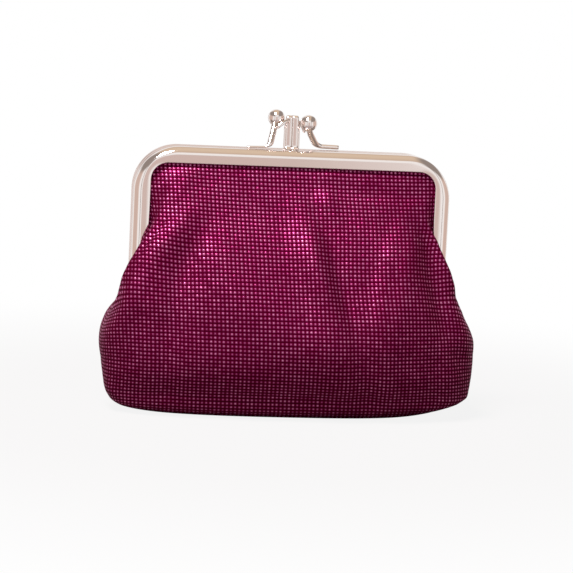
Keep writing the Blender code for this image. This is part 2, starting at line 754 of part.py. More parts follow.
def upper_lining_grid():
    """The upper lining's outer face, from the channel down to the hinge line."""
    lip_inset = FLANGE_REACH + LIP_CLEARANCE + LINING_TUCK
    lip_z = FRAME_TOP_Z - lip_inset
    top_z = FRAME_TOP_Z - LINING_GRIP
    rows = []
    for share in UPPER_ROW_SHARES:
        z = UPPER_BOTTOM_Z + share * (lip_z - UPPER_BOTTOM_Z) / UPPER_ROW_SHARES[-1]
        if share == UPPER_ROW_SHARES[-1]:
            break
        lip_x = half_width_at(lip_inset, z)
        edge_x = half_width_at(LINING_GRIP, z) if z > CHANNEL_CLOTH_Z else WAIST_X
        rows.append(field_row(z, lip_x, edge_x, LINING_PLANE_Y, lining_half_depth(z)))
    rows += channel_rows(lip_z, top_z, LINING_PLANE_Y, LINING_GRIP, 3)
    return np.array([whole_row(row) for row in rows[::-1]])


def flat_offset(grid, distance):
    """An upper face moved inwards, with its top and bottom rims kept at their heights."""
    inner = offset_grid(grid, distance)
    inner[0, :, 2] = grid[0, :, 2]
    inner[-1, :, 2] = grid[-1, :, 2]
    return inner


def divider_outline(lining_edge):
    """The divider as (x, z) pairs: in the channel, narrow between the hinges, then out to the side seams."""
    top = []
    for angle in np.linspace(pi / 2, 0.0, CORNER_STEPS + 1):
        radius = CORNER_RADIUS - LINING_GRIP
        x = HALF_WIDTH - CORNER_RADIUS + radius * cos(angle)
        top.append((x, CORNER_Z + radius * sin(angle)))
    waist_top = EAR_TOP_Z + METAL_GAP
    right = top + [(HALF_WIDTH - LINING_GRIP, waist_top), (WAIST_X, waist_top)]
    below_hinge = lining_edge[0][1] + CLOTH_GAP
    right.append((WAIST_X, below_hinge))
    right += [(x - METAL_GAP, z) for x, z in lining_edge[:-2]]
    floor = lining_edge[-1][1] + METAL_GAP
    right.append((lining_edge[-1][0], floor))
    return right + [(-x, z) for x, z in right[::-1]]


def build_pouch(front_axis, rear_axis):
    """The outer panels and linings of both sides, and the divider between the pockets."""
    lower = lower_panel_grid()
    upper = upper_panel_grid()
    lining = upper_lining_grid()
    lower_inner = inner_lower_grid(lower, PANEL_THICKNESS)
    lining_outer = inner_lower_grid(lower, PANEL_THICKNESS + CLOTH_GAP)
    lining_inner = inner_lower_grid(lower, PANEL_THICKNESS + CLOTH_GAP + LINING_THICKNESS)
    upper_inner = flat_offset(upper, PANEL_THICKNESS)
    upper_lining_inner = flat_offset(lining, LINING_THICKNESS)
    for side, place, axis in (("front", lambda grid: grid, front_axis), ("rear", mirror_y, rear_axis)):
        name = side + "_panel_lower"
        sheet(name, place(lower), place(lower_inner), foil_cloth(name))
        name = side + "_lining_lower"
        sheet(name, place(lining_outer), place(lining_inner), lining_cloth(name))
        name = side + "_panel_upper"
        sheet(name, place(upper), place(upper_inner), foil_cloth(name), axis)
        name = side + "_lining_upper"
        sheet(name, place(lining), place(upper_lining_inner), lining_cloth(name), axis)
    edge = [(float(p[0]), float(p[2])) for p in lining_inner[:, 0]]
    half = DIVIDER_THICKNESS / 2
    extrude_outline(
        "divider", divider_outline(edge), lambda x, z, y: (x, y, z), -half, half, lining_cloth("divider")
    )


def build_cord(name, radius, center_y, axis=None):
    """A cord laid in a channel, against its back, from hinge to hinge."""
    section = arc((0.0, 0.0), radius, 0.0, 2 * pi * (1 - 1 / CORD_SIDES), CORD_SIDES - 1)
    bottom_z = EAR_TOP_Z + LIP_CLEARANCE
    return sweep_section(name, section, CORD_INSET, center_y, bottom_z, paper(name), axis)


def hinge_empty(name):
    """An empty on the hinge axis, which carries what swings with one frame."""
    empty = bpy.data.objects.new(name, None)
    empty.location = (0, 0, HINGE_Z)
    bpy.context.collection.objects.link(empty)
    return empty


def main():
    """Builds the purse, closed."""
    clear_scene()
    front_axis = hinge_empty("front_hinge_axis")
    rear_axis = hinge_empty("rear_hinge_axis")
    outer_radii = (SHOULDER_RADIUS, EDGE_RADIUS)
    build_frame("front_frame", -FRAME_PITCH, outer_radii, outer_ear_outline(-1), 0, front_axis)
    build_frame("middle_frame", 0.0, (EDGE_RADIUS, EDGE_RADIUS), middle_ear_outline(), 1)
    build_frame("rear_frame", FRAME_PITCH, outer_radii[::-1], outer_ear_outline(1), 2, rear_axis)
    build_rivet("left_hinge_rivet", -1)
    build_rivet("right_hinge_rivet", 1)
    build_post("front_clasp_post", FRONT_POST, front_axis)
    build_ball("front_clasp_ball", FRONT_POST, front_axis)
    build_post("rear_clasp_post", REAR_POST, rear_axis)
    build_ball("rear_clasp_ball", REAR_POST, rear_axis)
    build_catch("centre_catch")
    build_pouch(front_axis, rear_axis)
    build_cord("front_paper_cord", CORD_RADIUS, CORD_Y, front_axis)
    build_cord("middle_paper_cord", MIDDLE_CORD_RADIUS, DIVIDER_THICKNESS + MIDDLE_CORD_RADIUS)
    build_cord("rear_paper_cord", CORD_RADIUS, -CORD_Y, rear_axis)


main()
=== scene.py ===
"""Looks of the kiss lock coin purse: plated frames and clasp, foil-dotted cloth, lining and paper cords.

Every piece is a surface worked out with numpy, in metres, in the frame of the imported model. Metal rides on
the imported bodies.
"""

from __future__ import annotations

import logging
from dataclasses import dataclass, field
from enum import Enum
from math import cos, pi, radians, sin

import bmesh
import bpy
import numpy as np
from bpy.types import Material, Node, NodeSocket, NodeTree, Object
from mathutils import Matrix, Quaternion, Vector


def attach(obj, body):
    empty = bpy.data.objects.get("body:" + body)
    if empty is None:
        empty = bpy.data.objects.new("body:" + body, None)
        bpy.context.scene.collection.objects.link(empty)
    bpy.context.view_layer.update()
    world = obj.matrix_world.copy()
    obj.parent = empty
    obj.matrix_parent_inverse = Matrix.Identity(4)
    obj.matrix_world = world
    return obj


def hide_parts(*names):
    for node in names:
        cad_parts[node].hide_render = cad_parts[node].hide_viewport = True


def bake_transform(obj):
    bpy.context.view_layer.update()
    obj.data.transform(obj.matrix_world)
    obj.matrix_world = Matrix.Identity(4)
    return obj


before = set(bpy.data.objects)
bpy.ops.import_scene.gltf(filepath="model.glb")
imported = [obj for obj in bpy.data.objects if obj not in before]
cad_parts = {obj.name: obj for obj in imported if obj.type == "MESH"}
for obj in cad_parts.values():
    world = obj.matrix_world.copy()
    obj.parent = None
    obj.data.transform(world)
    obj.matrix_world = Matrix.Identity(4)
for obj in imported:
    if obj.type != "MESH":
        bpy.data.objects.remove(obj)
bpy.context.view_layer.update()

MM = 0.001
UV_NAME = "cloth_mm"
DENSE_SAMPLES = 400
# Edges that bend more than this many degrees stay sharp
METAL_SHARP, CLASP_SHARP, CLOTH_SHARP, CORD_SHARP = 38.0, 50.0, 70.0, 80.0

log = logging.getLogger("purse")

Part = tuple[np.ndarray, list]


class Body(Enum):
    """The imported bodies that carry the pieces."""

    POUCH = "pouch"
    FRONT = "front_half"
    REAR = "rear_half"


class Slot(Enum):
    """The record's material slots."""

    NICKEL = "nickel"
    CLOTH = "foil_cloth"
    LINING = "lining"
    CORD = "paper_cord"


class Side(Enum):
    """Which side of the purse a piece is on, as the sign of its y."""

    FRONT = -1
    REAR = 1

    @property
    def body(self) -> Body:
        """The body of this side's frame."""
        return Body.FRONT if self is Side.FRONT else Body.REAR

    @property
    def word(self) -> str:
        """The side as it stands in names."""
        return self.name.lower()


# Surfaces


def smooth_step(value: np.ndarray | float, low: float, high: float) -> np.ndarray:
    """0 at low, 1 at high, and 3t^2 - 2t^3 between."""
    t = np.clip((value - low) / (high - low), 0.0, 1.0)
    return t * t * (3 - 2 * t)


def unit(vectors: np.ndarray) -> np.ndarray:
    """Each vector at length 1, and those of no length as they are."""
    lengths = np.linalg.norm(vectors, axis=-1, keepdims=True)
    return np.divide(vectors, lengths, out=np.zeros_like(vectors), where=lengths > 0)


def side_by_side(*parts: np.ndarray | float) -> np.ndarray:
    """Coordinates side by side along a new last axis, with single numbers spread to the arrays' shape."""
    return np.stack(np.broadcast_arrays(*parts), axis=-1)


def grid_quads(rows: int, columns: int, wrap: bool = False) -> list:
    """Quads between the neighbours of a grid.

    Args:
        rows: number of rows.
        columns: number of columns.
        wrap: whether the last column meets the first.

    Returns:
        Four point numbers for each quad.
    """
    index = np.arange(rows * columns).reshape(rows, columns)
    if wrap:
        index = np.concatenate([index, index[:, :1]], axis=1)
    corners = (index[:-1, :-1], index[:-1, 1:], index[1:, 1:], index[1:, :-1])
    return np.stack(corners, axis=-1).reshape(-1, 4).tolist()


def loft(rings: np.ndarray) -> Part:
    """A closed solid through a stack of rings, with a flat cap at each end.

    Args:
        rings: points as (ring, side, xyz).

    Returns:
        Its points and faces.
    """
    count, sides = rings.shape[:2]
    last = (count - 1) * sides
    faces = grid_quads(count, sides, wrap=True)
    faces += [list(range(sides)), list(range(last, last + sides))]
    return rings.reshape(-1, 3), faces


def lathe(profile: np.ndarray, origin: np.ndarray, axis: np.ndarray, sides: int) -> Part:
    """A profile turned about an axis: each (distance along, radius) pair becomes a ring.

    Args:
        profile: pairs of distance along the axis and radius, in order.
        origin: the point on the axis at distance zero.
        axis: unit direction of the axis.
        sides: points in each ring.

    Returns:
        Its points and faces.
    """
    across = unit(np.cross(axis, (0.0, 0.0, 1.0) if abs(axis[2]) < 0.9 else (1.0, 0.0, 0.0)))
    up = np.cross(axis, across)
    angle = np.linspace(0.0, 2 * pi, sides, endpoint=False)[None, :, None]
    along, radius = profile[:, 0, None, None], profile[:, 1, None, None]
    return loft(origin + along * axis + radius * (np.cos(angle) * across + np.sin(angle) * up))


def tube(
    path: np.ndarray, side_radii: np.ndarray, up_radii: np.ndarray, sides: int, power: float = 2.0
) -> Part:
    """A superellipse carried along a path in a plane square to Y.

    Each ring is centre + side * y-wards direction + up * the direction square to it, with
    side = radius * |cos|^(2/power) and up = radius * |sin|^(2/power), signs kept.

    Args:
        path: points of the centre line.
        side_radii: half the width towards Y at each point.
        up_radii: half the thickness square to it at each point.
        sides: points in each ring.
        power: 2 for an ellipse, more for a squarer section.

    Returns:
        Its points and faces.
    """
    tangent = unit(np.gradient(path, axis=0))
    across = unit(np.array([0.0, 1.0, 0.0]) - tangent[:, 1:2] * tangent)
    up = np.cross(tangent, across)
    angle = np.linspace(0.0, 2 * pi, sides, endpoint=False)
    side = np.sign(np.cos(angle)) * np.abs(np.cos(angle)) ** (2 / power)
    rise = np.sign(np.sin(angle)) * np.abs(np.sin(angle)) ** (2 / power)
    rings = path[:, None] + across[:, None] * (side_radii[:, None] * side)[..., None]
    rings = rings + up[:, None] * (up_radii[:, None] * rise)[..., None]
    return loft(rings)


def join(parts: list[Part]) -> Part:
    """Several closed shells as the points and faces of one mesh.

    Args:
        parts: points and faces of each shell.

    Returns:
        The points and faces of all of them.
    """
    points, faces, start = [], [], 0
    for part_points, part_faces in parts:
        points.append(part_points)
        faces += [[start + i for i in face] for face in part_faces]
        start += len(part_points)
    return np.concatenate(points), faces


def add_piece(name: str, part: Part, uv: np.ndarray | None = None, sharp: float = METAL_SHARP) -> Object:
    """Puts a part into the scene as a smooth-shaded object at the origin.

    Args:
        name: the piece's name.
        part: its points and faces.
        uv: a (u, v) pair for each point, where its pattern follows the surface.
        sharp: edges that bend more than this many degrees stay sharp.

    Returns:
        The new object.
    """
    points, faces = part
    mesh = bpy.data.meshes.new(name)
    mesh.from_pydata(points.tolist(), [], faces)
    work = bmesh.new()
    work.from_mesh(mesh)
    bmesh.ops.recalc_face_normals(work, faces=work.faces)
    work.to_mesh(mesh)
    work.free()
    mesh.shade_smooth()
    mesh.set_sharp_from_angle(angle=radians(sharp))
    if uv is not None:
        layer = mesh.uv_layers.new(name=UV_NAME)
        corner = np.empty(len(mesh.loops), dtype=np.int32)
        mesh.loops.foreach_get("vertex_index", corner)
        layer.uv.foreach_set("vector", uv.reshape(-1, 2)[corner].astype(np.float32).ravel())
    piece = bpy.data.objects.new(name, mesh)
    bpy.context.scene.collection.objects.link(piece)
    return piece


def dress(piece: Object, material: Material) -> None:
    """Gives a piece its material."""
    piece.data.materials.append(material)


def carry(piece: Object, body: Body, *nodes: str) -> None:
    """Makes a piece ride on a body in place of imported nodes, and reports it.

    Args:
        piece: the piece.
        body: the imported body.
        *nodes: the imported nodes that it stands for.
    """
    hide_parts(*nodes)
    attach(piece, body.value)
    log.info("%s rides on %s: %d faces", piece.name, body.value, len(piece.data.polygons))


# Finishes

SMOOTH = {"interpolation_type": "SMOOTHSTEP"}
# The colour sockets of a Mix node: its two inputs and its result
RGBA = {"data_type": "RGBA"}
MIX_A, MIX_B, MIX_RESULT = 6, 7, 2
# The span that holds most of a noise texture's values
NOISE_SPAN = {"From Min": 0.3, "From Max": 0.7}


def linear(code: str) -> tuple[float, float, float, float]:
    """An sRGB hex colour as linear red, green, blue and alpha.

    Args:
        code: # and six hex digits.

    Returns:
        Its channels from 0 to 1, and an alpha of 1.
    """
    values = [int(code[i : i + 2], 16) / 255 for i in (1, 3, 5)]
    curve = [v / 12.92 if v <= 0.04045 else ((v + 0.055) / 1.055) ** 2.4 for v in values]
    return (*curve, 1.0)


def feed(node: Node, inputs: dict[str | int, object]) -> None:
    """Gives each of a node's sockets its value, or links the socket that feeds it.

    Args:
        node: the node.
        inputs: for each socket's name or number, a value or the socket that feeds it.
    """
    for name, value in inputs.items():
        if isinstance(value, NodeSocket):
            node.id_data.links.new(value, node.inputs[name])
        else:
            node.inputs[name].default_value = value


def add_node(
    tree: NodeTree,
    kind: str,
    settings: dict[str, object] | None = None,
    inputs: dict[str | int, object] | None = None,
) -> Node:
    """Adds a node with its settings and what goes into it.

    Args:
        tree: the material's or world's nodes.
        kind: the node's type, without the ShaderNode that all of them start with.
        settings: values for its properties.
        inputs: for each socket's name or number, a value or the socket that feeds it.

    Returns:
        The new node.
    """
    node = tree.nodes.new("ShaderNode" + kind)
    for name, value in (settings or {}).items():
        setattr(node, name, value)
    feed(node, inputs or {})
    return node


def new_material(name: str) -> tuple[Material, NodeTree, Node]:
    """A material with its nodes and its Principled shader.

    Args:
        name: the material's name.

    Returns:
        The material, its nodes and its shader.
    """
    material = bpy.data.materials.new(name)
    material.use_nodes = True
    tree = material.node_tree
    return material, tree, tree.nodes["Principled BSDF"]


def fill_ramp(node: Node, stops: tuple[tuple[float, str], ...]) -> None:
    """Sets a colour ramp's stops, given as (place, sRGB hex) pairs.

    Args:
        node: the Color Ramp node.
        stops: the pairs, from 0 up.
    """
    ramp = node.color_ramp
    while len(ramp.elements) < len(stops):
        ramp.elements.new(1.0)
    for element, (place, code) in zip(ramp.elements, stops):
        element.position = place
        element.color = linear(code)


@dataclass(frozen=True)
class NickelPlate:
    """Bright nickel plate on steel strip, barrel polished before plating: warm white, near a mirror.

    The polish leaves faint streaks along the strip, and handling leaves patches that are a little duller.
    """

    colour: str = "#efe6e2"
    streak_length: float = 30 * MM
    streak_width: float = 0.35 * MM
    streak_depth: float = 0.004 * MM
    streak_detail: float = 3.0
    patch: float = 9 * MM
    patch_detail: float = 2.0
    roughness: tuple[float, float] = (0.05, 0.11)

    def material(self) -> Material:
        """Builds the material: streak noise stretched along X for bump, patch noise for roughness.

        Returns:
            The new material.
        """
        material, tree, shader = new_material("nickel_plate")
        place = add_node(tree, "TexCoord").outputs["Object"]
        scale = (1 / self.streak_length, 1 / self.streak_width, 1 / self.streak_width)
        stretched = add_node(tree, "Mapping", inputs={"Vector": place, "Scale": scale}).outputs[0]
        streaks = {"Vector": stretched, "Scale": 1.0, "Detail": self.streak_detail}
        streak = add_node(tree, "TexNoise", inputs=streaks).outputs["Fac"]
        patches = {"Vector": place, "Scale": 1 / self.patch, "Detail": self.patch_detail}
        patch = add_node(tree, "TexNoise", inputs=patches).outputs["Fac"]
        span = {"To Min": self.roughness[0], "To Max": self.roughness[1]}
        roughness = add_node(tree, "MapRange", inputs={"Value": patch, **NOISE_SPAN, **span})
        bump = add_node(tree, "Bump", inputs={"Height": streak, "Distance": self.streak_depth})
        feed(shader, {"Base Color": linear(self.colour), "Metallic": 1.0})
        feed(shader, {"Roughness": roughness.outputs["Result"], "Normal": bump.outputs["Normal"]})
        return material


@dataclass(frozen=True)
class FoilDottedCloth:
    """Dark red woven cloth with a heat-pressed grid of domed metallic foil dots.

    Each dot has a painted highlight that makes it palest in its middle, lies at its own slight tilt and took
    the foil a little differently, so the eye sees even rows of pink sparks on a dark red ground, dimmer where
    the cloth turns from the light.
    The ground's own threads are finer than the render can show: only the groove between two rows of dots is
    drawn. The pitch and the patches are in millimetres, as the cloth's own coordinates are.
    """

    pitch: float = 1.1
    dot_share: float = 0.68
    edge_shares: tuple[float, float] = (0.85, 1.15)
    dome_share: float = 0.9
    corner_power: float = 3.0
    groove: str = "#420018"
    ground: str = "#580222"
    groove_shares: tuple[float, float] = (0.28, 0.42)
    tilt: float = 0.16
    dot_height: float = 0.06 * MM
    dome_strength: float = 0.8
    patch_mm: float = 9.0
    patch_detail: float = 3.0
    patch_roughness: float = 0.6
    patch_range: tuple[float, float] = (0.12, 0.22)
    chance_share: float = 0.24
    # How far the painted highlight in each dot's middle moves it up the ramp
    painted_highlight_share: float = 0.58
    dot_roughness: float = 0.42
    ground_roughness: float = 0.6
    dot_metal: float = 0.7
    ground_metal: float = 0.3
    # Above about 0.46 the ramp is reached only in the dots' middles, through their painted highlight
    dot_stops: tuple[tuple[float, str], ...] = (
        (0.0, "#5a0630"),
        (0.25, "#761a4a"),
        (0.45, "#903066"),
        (0.7, "#b46288"),
        (1.0, "#e6b0cc"),
    )

    def material(self) -> Material:
        """Builds the material from the cloth's own UV map, which is in millimetres.

        Returns:
            The new material.
        """
        material, tree, shader = new_material("foil_dotted_cloth")
        place = add_node(tree, "UVMap", {"uv_map": UV_NAME}).outputs["UV"]
        scale = (1 / self.pitch, 1 / self.pitch, 1.0)
        step = add_node(tree, "Mapping", inputs={"Vector": place, "Scale": scale}).outputs[0]
        cell = add_node(tree, "VectorMath", {"operation": "FLOOR"}, {0: step}).outputs[0]
        local = add_node(tree, "VectorMath", {"operation": "FRACTION"}, {0: step}).outputs[0]
        centred = add_node(tree, "VectorMath", {"operation": "SUBTRACT"}, {0: local, 1: (0.5, 0.5, 0.0)})
        away = add_node(tree, "VectorMath", {"operation": "ABSOLUTE"}, {0: centred.outputs[0]})
        parts = add_node(tree, "SeparateXYZ", inputs={0: away.outputs[0]})
        mask, dome_and_highlight = self._dot_masks(tree, parts)
        chance = add_node(tree, "TexWhiteNoise", {"noise_dimensions": "2D"}, {"Vector": cell})
        ramp = add_node(tree, "ValToRGB", inputs={"Fac": self._dot_shade(tree, place, chance, dome_and_highlight)})
        fill_ramp(ramp, self.dot_stops)
        between = {"From Min": self.groove_shares[0], "From Max": self.groove_shares[1]}
        groove = add_node(tree, "MapRange", SMOOTH, {"Value": parts.outputs["Y"], **between})
        threads = {"Factor": groove.outputs["Result"], MIX_A: linear(self.ground), MIX_B: linear(self.groove)}
        ground = add_node(tree, "Mix", RGBA, threads).outputs[MIX_RESULT]
        colour = add_node(tree, "Mix", RGBA, {"Factor": mask, MIX_A: ground, MIX_B: ramp.outputs["Color"]})
        metal, roughness = (
            add_node(tree, "MapRange", inputs={"Value": mask, "To Min": off, "To Max": on}).outputs["Result"]
            for off, on in ((self.ground_metal, self.dot_metal), (self.ground_roughness, self.dot_roughness))
        )
        dome = {"Height": dome_and_highlight, "Distance": self.dot_height, "Strength": self.dome_strength}
        bump = add_node(tree, "Bump", inputs={**dome, "Normal": self._tilted_normal(tree, mask, chance)})
        feed(shader, {"Base Color": colour.outputs[MIX_RESULT], "Metallic": metal, "Roughness": roughness})
        feed(shader, {"Normal": bump.outputs["Normal"], "Specular IOR Level": 0.0})
        return material

    def _dot_masks(self, tree: NodeTree, away: Node) -> tuple[NodeSocket, NodeSocket]:
        """The dot's edge and its dome, from r = (|x|^p + |y|^p)^(1/p) measured from the cell's middle.

        Args:
            tree: the material's nodes.
            away: splits the distance from the cell's middle into x and y.

        Returns:
            1 on a dot and 0 between, and a dome that falls from 1 in the middle to 0 at the edge, which bumps
            the dot and sets its painted highlight.
        """
        power = {"operation": "POWER"}
        powers = [
            add_node(tree, "Math", power, {0: away.outputs[i], 1: self.corner_power}).outputs[0]
            for i in (0, 1)
        ]
        total = add_node(tree, "Math", {"operation": "ADD"}, {0: powers[0], 1: powers[1]}).outputs[0]
        reach = add_node(tree, "Math", power, {0: total, 1: 1 / self.corner_power}).outputs[0]
        half = self.dot_share / 2
        fall = {"Value": reach, "To Min": 1.0, "To Max": 0.0}
        mask, dome_and_highlight = (
            add_node(tree, "MapRange", SMOOTH, {**fall, "From Min": low, "From Max": high}).outputs["Result"]
            for low, high in (
                (half * self.edge_shares[0], half * self.edge_shares[1]),
                (0.0, half * self.dome_share),
            )
        )
        return mask, dome_and_highlight

    def _dot_shade(self, tree: NodeTree, place: NodeSocket, chance: Node, dome_and_highlight: NodeSocket) -> NodeSocket:
        """A point's place on the ramp: worn patches, plus chance from dot to dot, plus a painted highlight in
        the dot's middle.

        Args:
            tree: the material's nodes.
            place: the cloth's own coordinates.
            chance: the random number of each dot.
            dome_and_highlight: the dot's dome, which also sets its painted highlight.

        Returns:
            The place, from 0 to 1.
        """
        wear = {"Scale": 1 / self.patch_mm, "Detail": self.patch_detail, "Roughness": self.patch_roughness}
        patch = add_node(tree, "TexNoise", {"noise_dimensions": "2D"}, {"Vector": place, **wear})
        span = {"Value": patch.outputs["Fac"], "To Min": self.patch_range[0], "To Max": self.patch_range[1]}
        base = add_node(tree, "MapRange", inputs={**NOISE_SPAN, **span}).outputs["Result"]
        add_up = {"operation": "MULTIPLY_ADD"}
        luck = {0: chance.outputs["Value"], 1: self.chance_share, 2: base}
        lucky = add_node(tree, "Math", add_up, luck).outputs[0]
        # Painted highlight: the dome's middle moves the dot towards the ramp's palest colours
        pale = {0: dome_and_highlight, 1: self.painted_highlight_share, 2: lucky}
        return add_node(tree, "Math", {**add_up, "use_clamp": True}, pale).outputs[0]

    def _tilted_normal(self, tree: NodeTree, mask: NodeSocket, chance: Node) -> NodeSocket:
        """The surface's normal leaned by a random vector of its own on each dot.

        Args:
            tree: the material's nodes.
            mask: 1 on a dot and 0 between.
            chance: the random vector of each dot, as a colour.

        Returns:
            The leaned normal.
        """
        middle = {0: chance.outputs["Color"], 1: (0.5, 0.5, 0.5)}
        lean = add_node(tree, "VectorMath", {"operation": "SUBTRACT"}, middle).outputs[0]
        amount = add_node(tree, "Math", {"operation": "MULTIPLY"}, {0: mask, 1: self.tilt}).outputs[0]
        scaled = add_node(tree, "VectorMath", {"operation": "SCALE"}, {0: lean, "Scale": amount}).outputs[0]
        normal = add_node(tree, "NewGeometry").outputs["Normal"]
        total = add_node(tree, "VectorMath", {"operation": "ADD"}, {0: normal, 1: scaled}).outputs[0]
        return add_node(tree, "VectorMath", {"operation": "NORMALIZE"}, {0: total}).outputs[0]


@dataclass(frozen=True)
class LiningTwill:
    """Black polyester twill: dark with a slight satin sheen and fine diagonal ribs.

    Real ribs are about 0.25 mm apart. They are drawn three times as coarse so that they show: bands of
    scale s lie 2 pi / (10 sqrt(2) s) apart, which is 0.74 mm.
    """

    colour: str = "#17131a"
    rib_colour: str = "#2a242e"
    rib_scale: float = 0.6
    rib_waver: float = 0.8
    rib_detail: float = 2.0
    rib_depth: float = 0.05 * MM
    roughness: float = 0.55
    sheen: float = 0.25

    def material(self) -> Material:
        """Builds the material: diagonal bands on the piece's own UV map.

        Returns:
            The new material.
        """
        material, tree, shader = new_material("black_lining_twill")
        place = add_node(tree, "UVMap", {"uv_map": UV_NAME}).outputs["UV"]
        bands = {"wave_type": "BANDS", "bands_direction": "DIAGONAL"}
        run = {"Scale": self.rib_scale, "Distortion": self.rib_waver, "Detail": self.rib_detail}
        ribs = add_node(tree, "TexWave", bands, {"Vector": place, **run}).outputs["Fac"]
        tones = {"Factor": ribs, MIX_A: linear(self.colour), MIX_B: linear(self.rib_colour)}
        colour = add_node(tree, "Mix", RGBA, tones).outputs[MIX_RESULT]
        bump = add_node(tree, "Bump", inputs={"Height": ribs, "Distance": self.rib_depth})
        feed(shader, {"Base Color": colour, "Normal": bump.outputs["Normal"]})
        feed(shader, {"Roughness": self.roughness, "Sheen Weight": self.sheen})
        return material


@dataclass(frozen=True)
class KraftPaper:
    """Twisted brown kraft paper: matt, with pale fibres along it."""

    colour: str = "#a98d63"
    fibre_colour: str = "#d9c7a0"
    fibre: float = 0.4 * MM
    fibre_detail: float = 4.0
    fibre_depth: float = 0.05 * MM
    roughness: float = 0.9

    def material(self) -> Material:
        """Builds the material: fibre noise in object space.

        Returns:
            The new material.
        """
        material, tree, shader = new_material("kraft_paper_twine")
        place = add_node(tree, "TexCoord").outputs["Object"]
        grain = {"Vector": place, "Scale": 1 / self.fibre, "Detail": self.fibre_detail}
        fibre = add_node(tree, "TexNoise", inputs=grain).outputs["Fac"]
        tones = {"Factor": fibre, MIX_A: linear(self.colour), MIX_B: linear(self.fibre_colour)}
        colour = add_node(tree, "Mix", RGBA, tones).outputs[MIX_RESULT]
        bump = add_node(tree, "Bump", inputs={"Height": fibre, "Distance": self.fibre_depth})
        feed(shader, {"Base Color": colour, "Normal": bump.outputs["Normal"], "Roughness": self.roughness})
        return material


# Frames and hinges


def arc(centre: tuple[float, float], radius: float, start: float, end: float, steps: int) -> np.ndarray:
    """Points on an arc from a start to an end angle, its ends included."""
    angle = np.linspace(start, end, steps + 1)
    return side_by_side(centre[0] + radius * np.cos(angle), centre[1] + radius * np.sin(angle))


@dataclass(frozen=True)
class FrameOutline:
    """The upside-down U that all three frames follow, with a round corner at each side."""

    half_width: float = 42.5 * MM
    top_z: float = 71.5 * MM
    corner_radius: float = 12 * MM
    corner_steps: int = 28
    bar_steps: int = 14
    top_steps: int = 30

    @property
    def corner_z(self) -> float:
        """Where the bars' straight part ends."""
        return self.top_z - self.corner_radius

    @property
    def corner_x(self) -> float:
        """Centre of the right corner."""
        return self.half_width - self.corner_radius

    def half_width_at(self, inset: float, z: np.ndarray | float) -> np.ndarray:
        """Half the outline's width at a height, drawn in by an inset: corner centre + sqrt(r^2 - rise^2).

        Args:
            inset: how far in from the outline.
            z: the height.

        Returns:
            Half the width there.
        """
        rise = np.maximum(np.asarray(z) - self.corner_z, 0.0)
        square = (self.corner_radius - inset) ** 2 - rise**2
        return self.corner_x + np.sqrt(np.maximum(square, 0.0))

    def stations(self, bottom_z: float) -> tuple[np.ndarray, np.ndarray]:
        """Points along the outline and the outward direction at each, from the left bar's end to the right's.

        Args:
            bottom_z: height of the bars' ends.

        Returns:
            (x, z) points and (x, z) directions.
        """
        bar = np.linspace(bottom_z, self.corner_z, self.bar_steps, endpoint=False)
        turn = np.linspace(pi, pi / 2, self.corner_steps)
        top = np.linspace(-self.corner_x, self.corner_x, self.top_steps)[1:-1]
        flip = np.array([-1.0, 1.0])
        corner = arc((-self.corner_x, self.corner_z), self.corner_radius, pi, pi / 2, self.corner_steps - 1)
        half = np.concatenate([side_by_side(-self.half_width, bar), corner])
        aside = np.tile((-1.0, 0.0), (len(bar), 1))
        half_out = np.concatenate([aside, side_by_side(np.cos(turn), np.sin(turn))])
        points = np.concatenate([half, side_by_side(top, self.top_z), (half * flip)[::-1]])
        outward = np.concatenate([half_out, np.tile((0.0, 1.0), (len(top), 1)), (half_out * flip)[::-1]])
        return points, outward

    def depth_kept(self, outward: np.ndarray, depth: float, lip_radius: float) -> np.ndarray:
        """The share of a section's depth that stays at each station, for an inner edge that turns tightly.

        From the outer arc's centre, the inner edge lies straight / cos along a direction d, and on the inner
        arc, whose centre c is off by shift each way, at c.d + sqrt(r^2 - c.c + (c.d)^2).

        Args:
            outward: the outward direction at each station.
            depth: how far in the section reaches.
            lip_radius: radius of the inner edge's corner.

        Returns:
            One share for each station, 1 on the straight runs.
        """
        straight = self.corner_radius - depth
        shift = straight - lip_radius
        steep = np.abs(outward).max(axis=1)
        toward = shift * np.abs(outward).sum(axis=1)
        on_arc = toward + np.sqrt(np.maximum(lip_radius**2 - 2 * shift**2 + toward**2, 0.0))
        turning = np.abs(outward).min(axis=1) / steep > shift / straight
        return (self.corner_radius - np.where(turning, on_arc, straight / steep)) / depth

    def sweep(self, section: np.ndarray, centre_y: float, bottom_z: float, lip_radius: float = 0.0) -> Part:
        """Carries a closed section of (outward, y) pairs along the outline.

        Args:
            section: distances from the outline, outwards, and y from the centre.
            centre_y: the section's centre.
            bottom_z: height of the bars' ends.
            lip_radius: radius of the inner edge's corners, or 0 where they follow the outline.

        Returns:
            Its points and faces.
        """
        points, outward = self.stations(bottom_z)
        reach = section[None, :, 0]
        if lip_radius:
            reach = reach * self.depth_kept(outward, -section[:, 0].min(), lip_radius)[:, None]
        x = points[:, 0, None] + reach * outward[:, 0, None]
        z = points[:, 1, None] + reach * outward[:, 1, None]
        return loft(side_by_side(x, centre_y + section[None, :, 1], z))


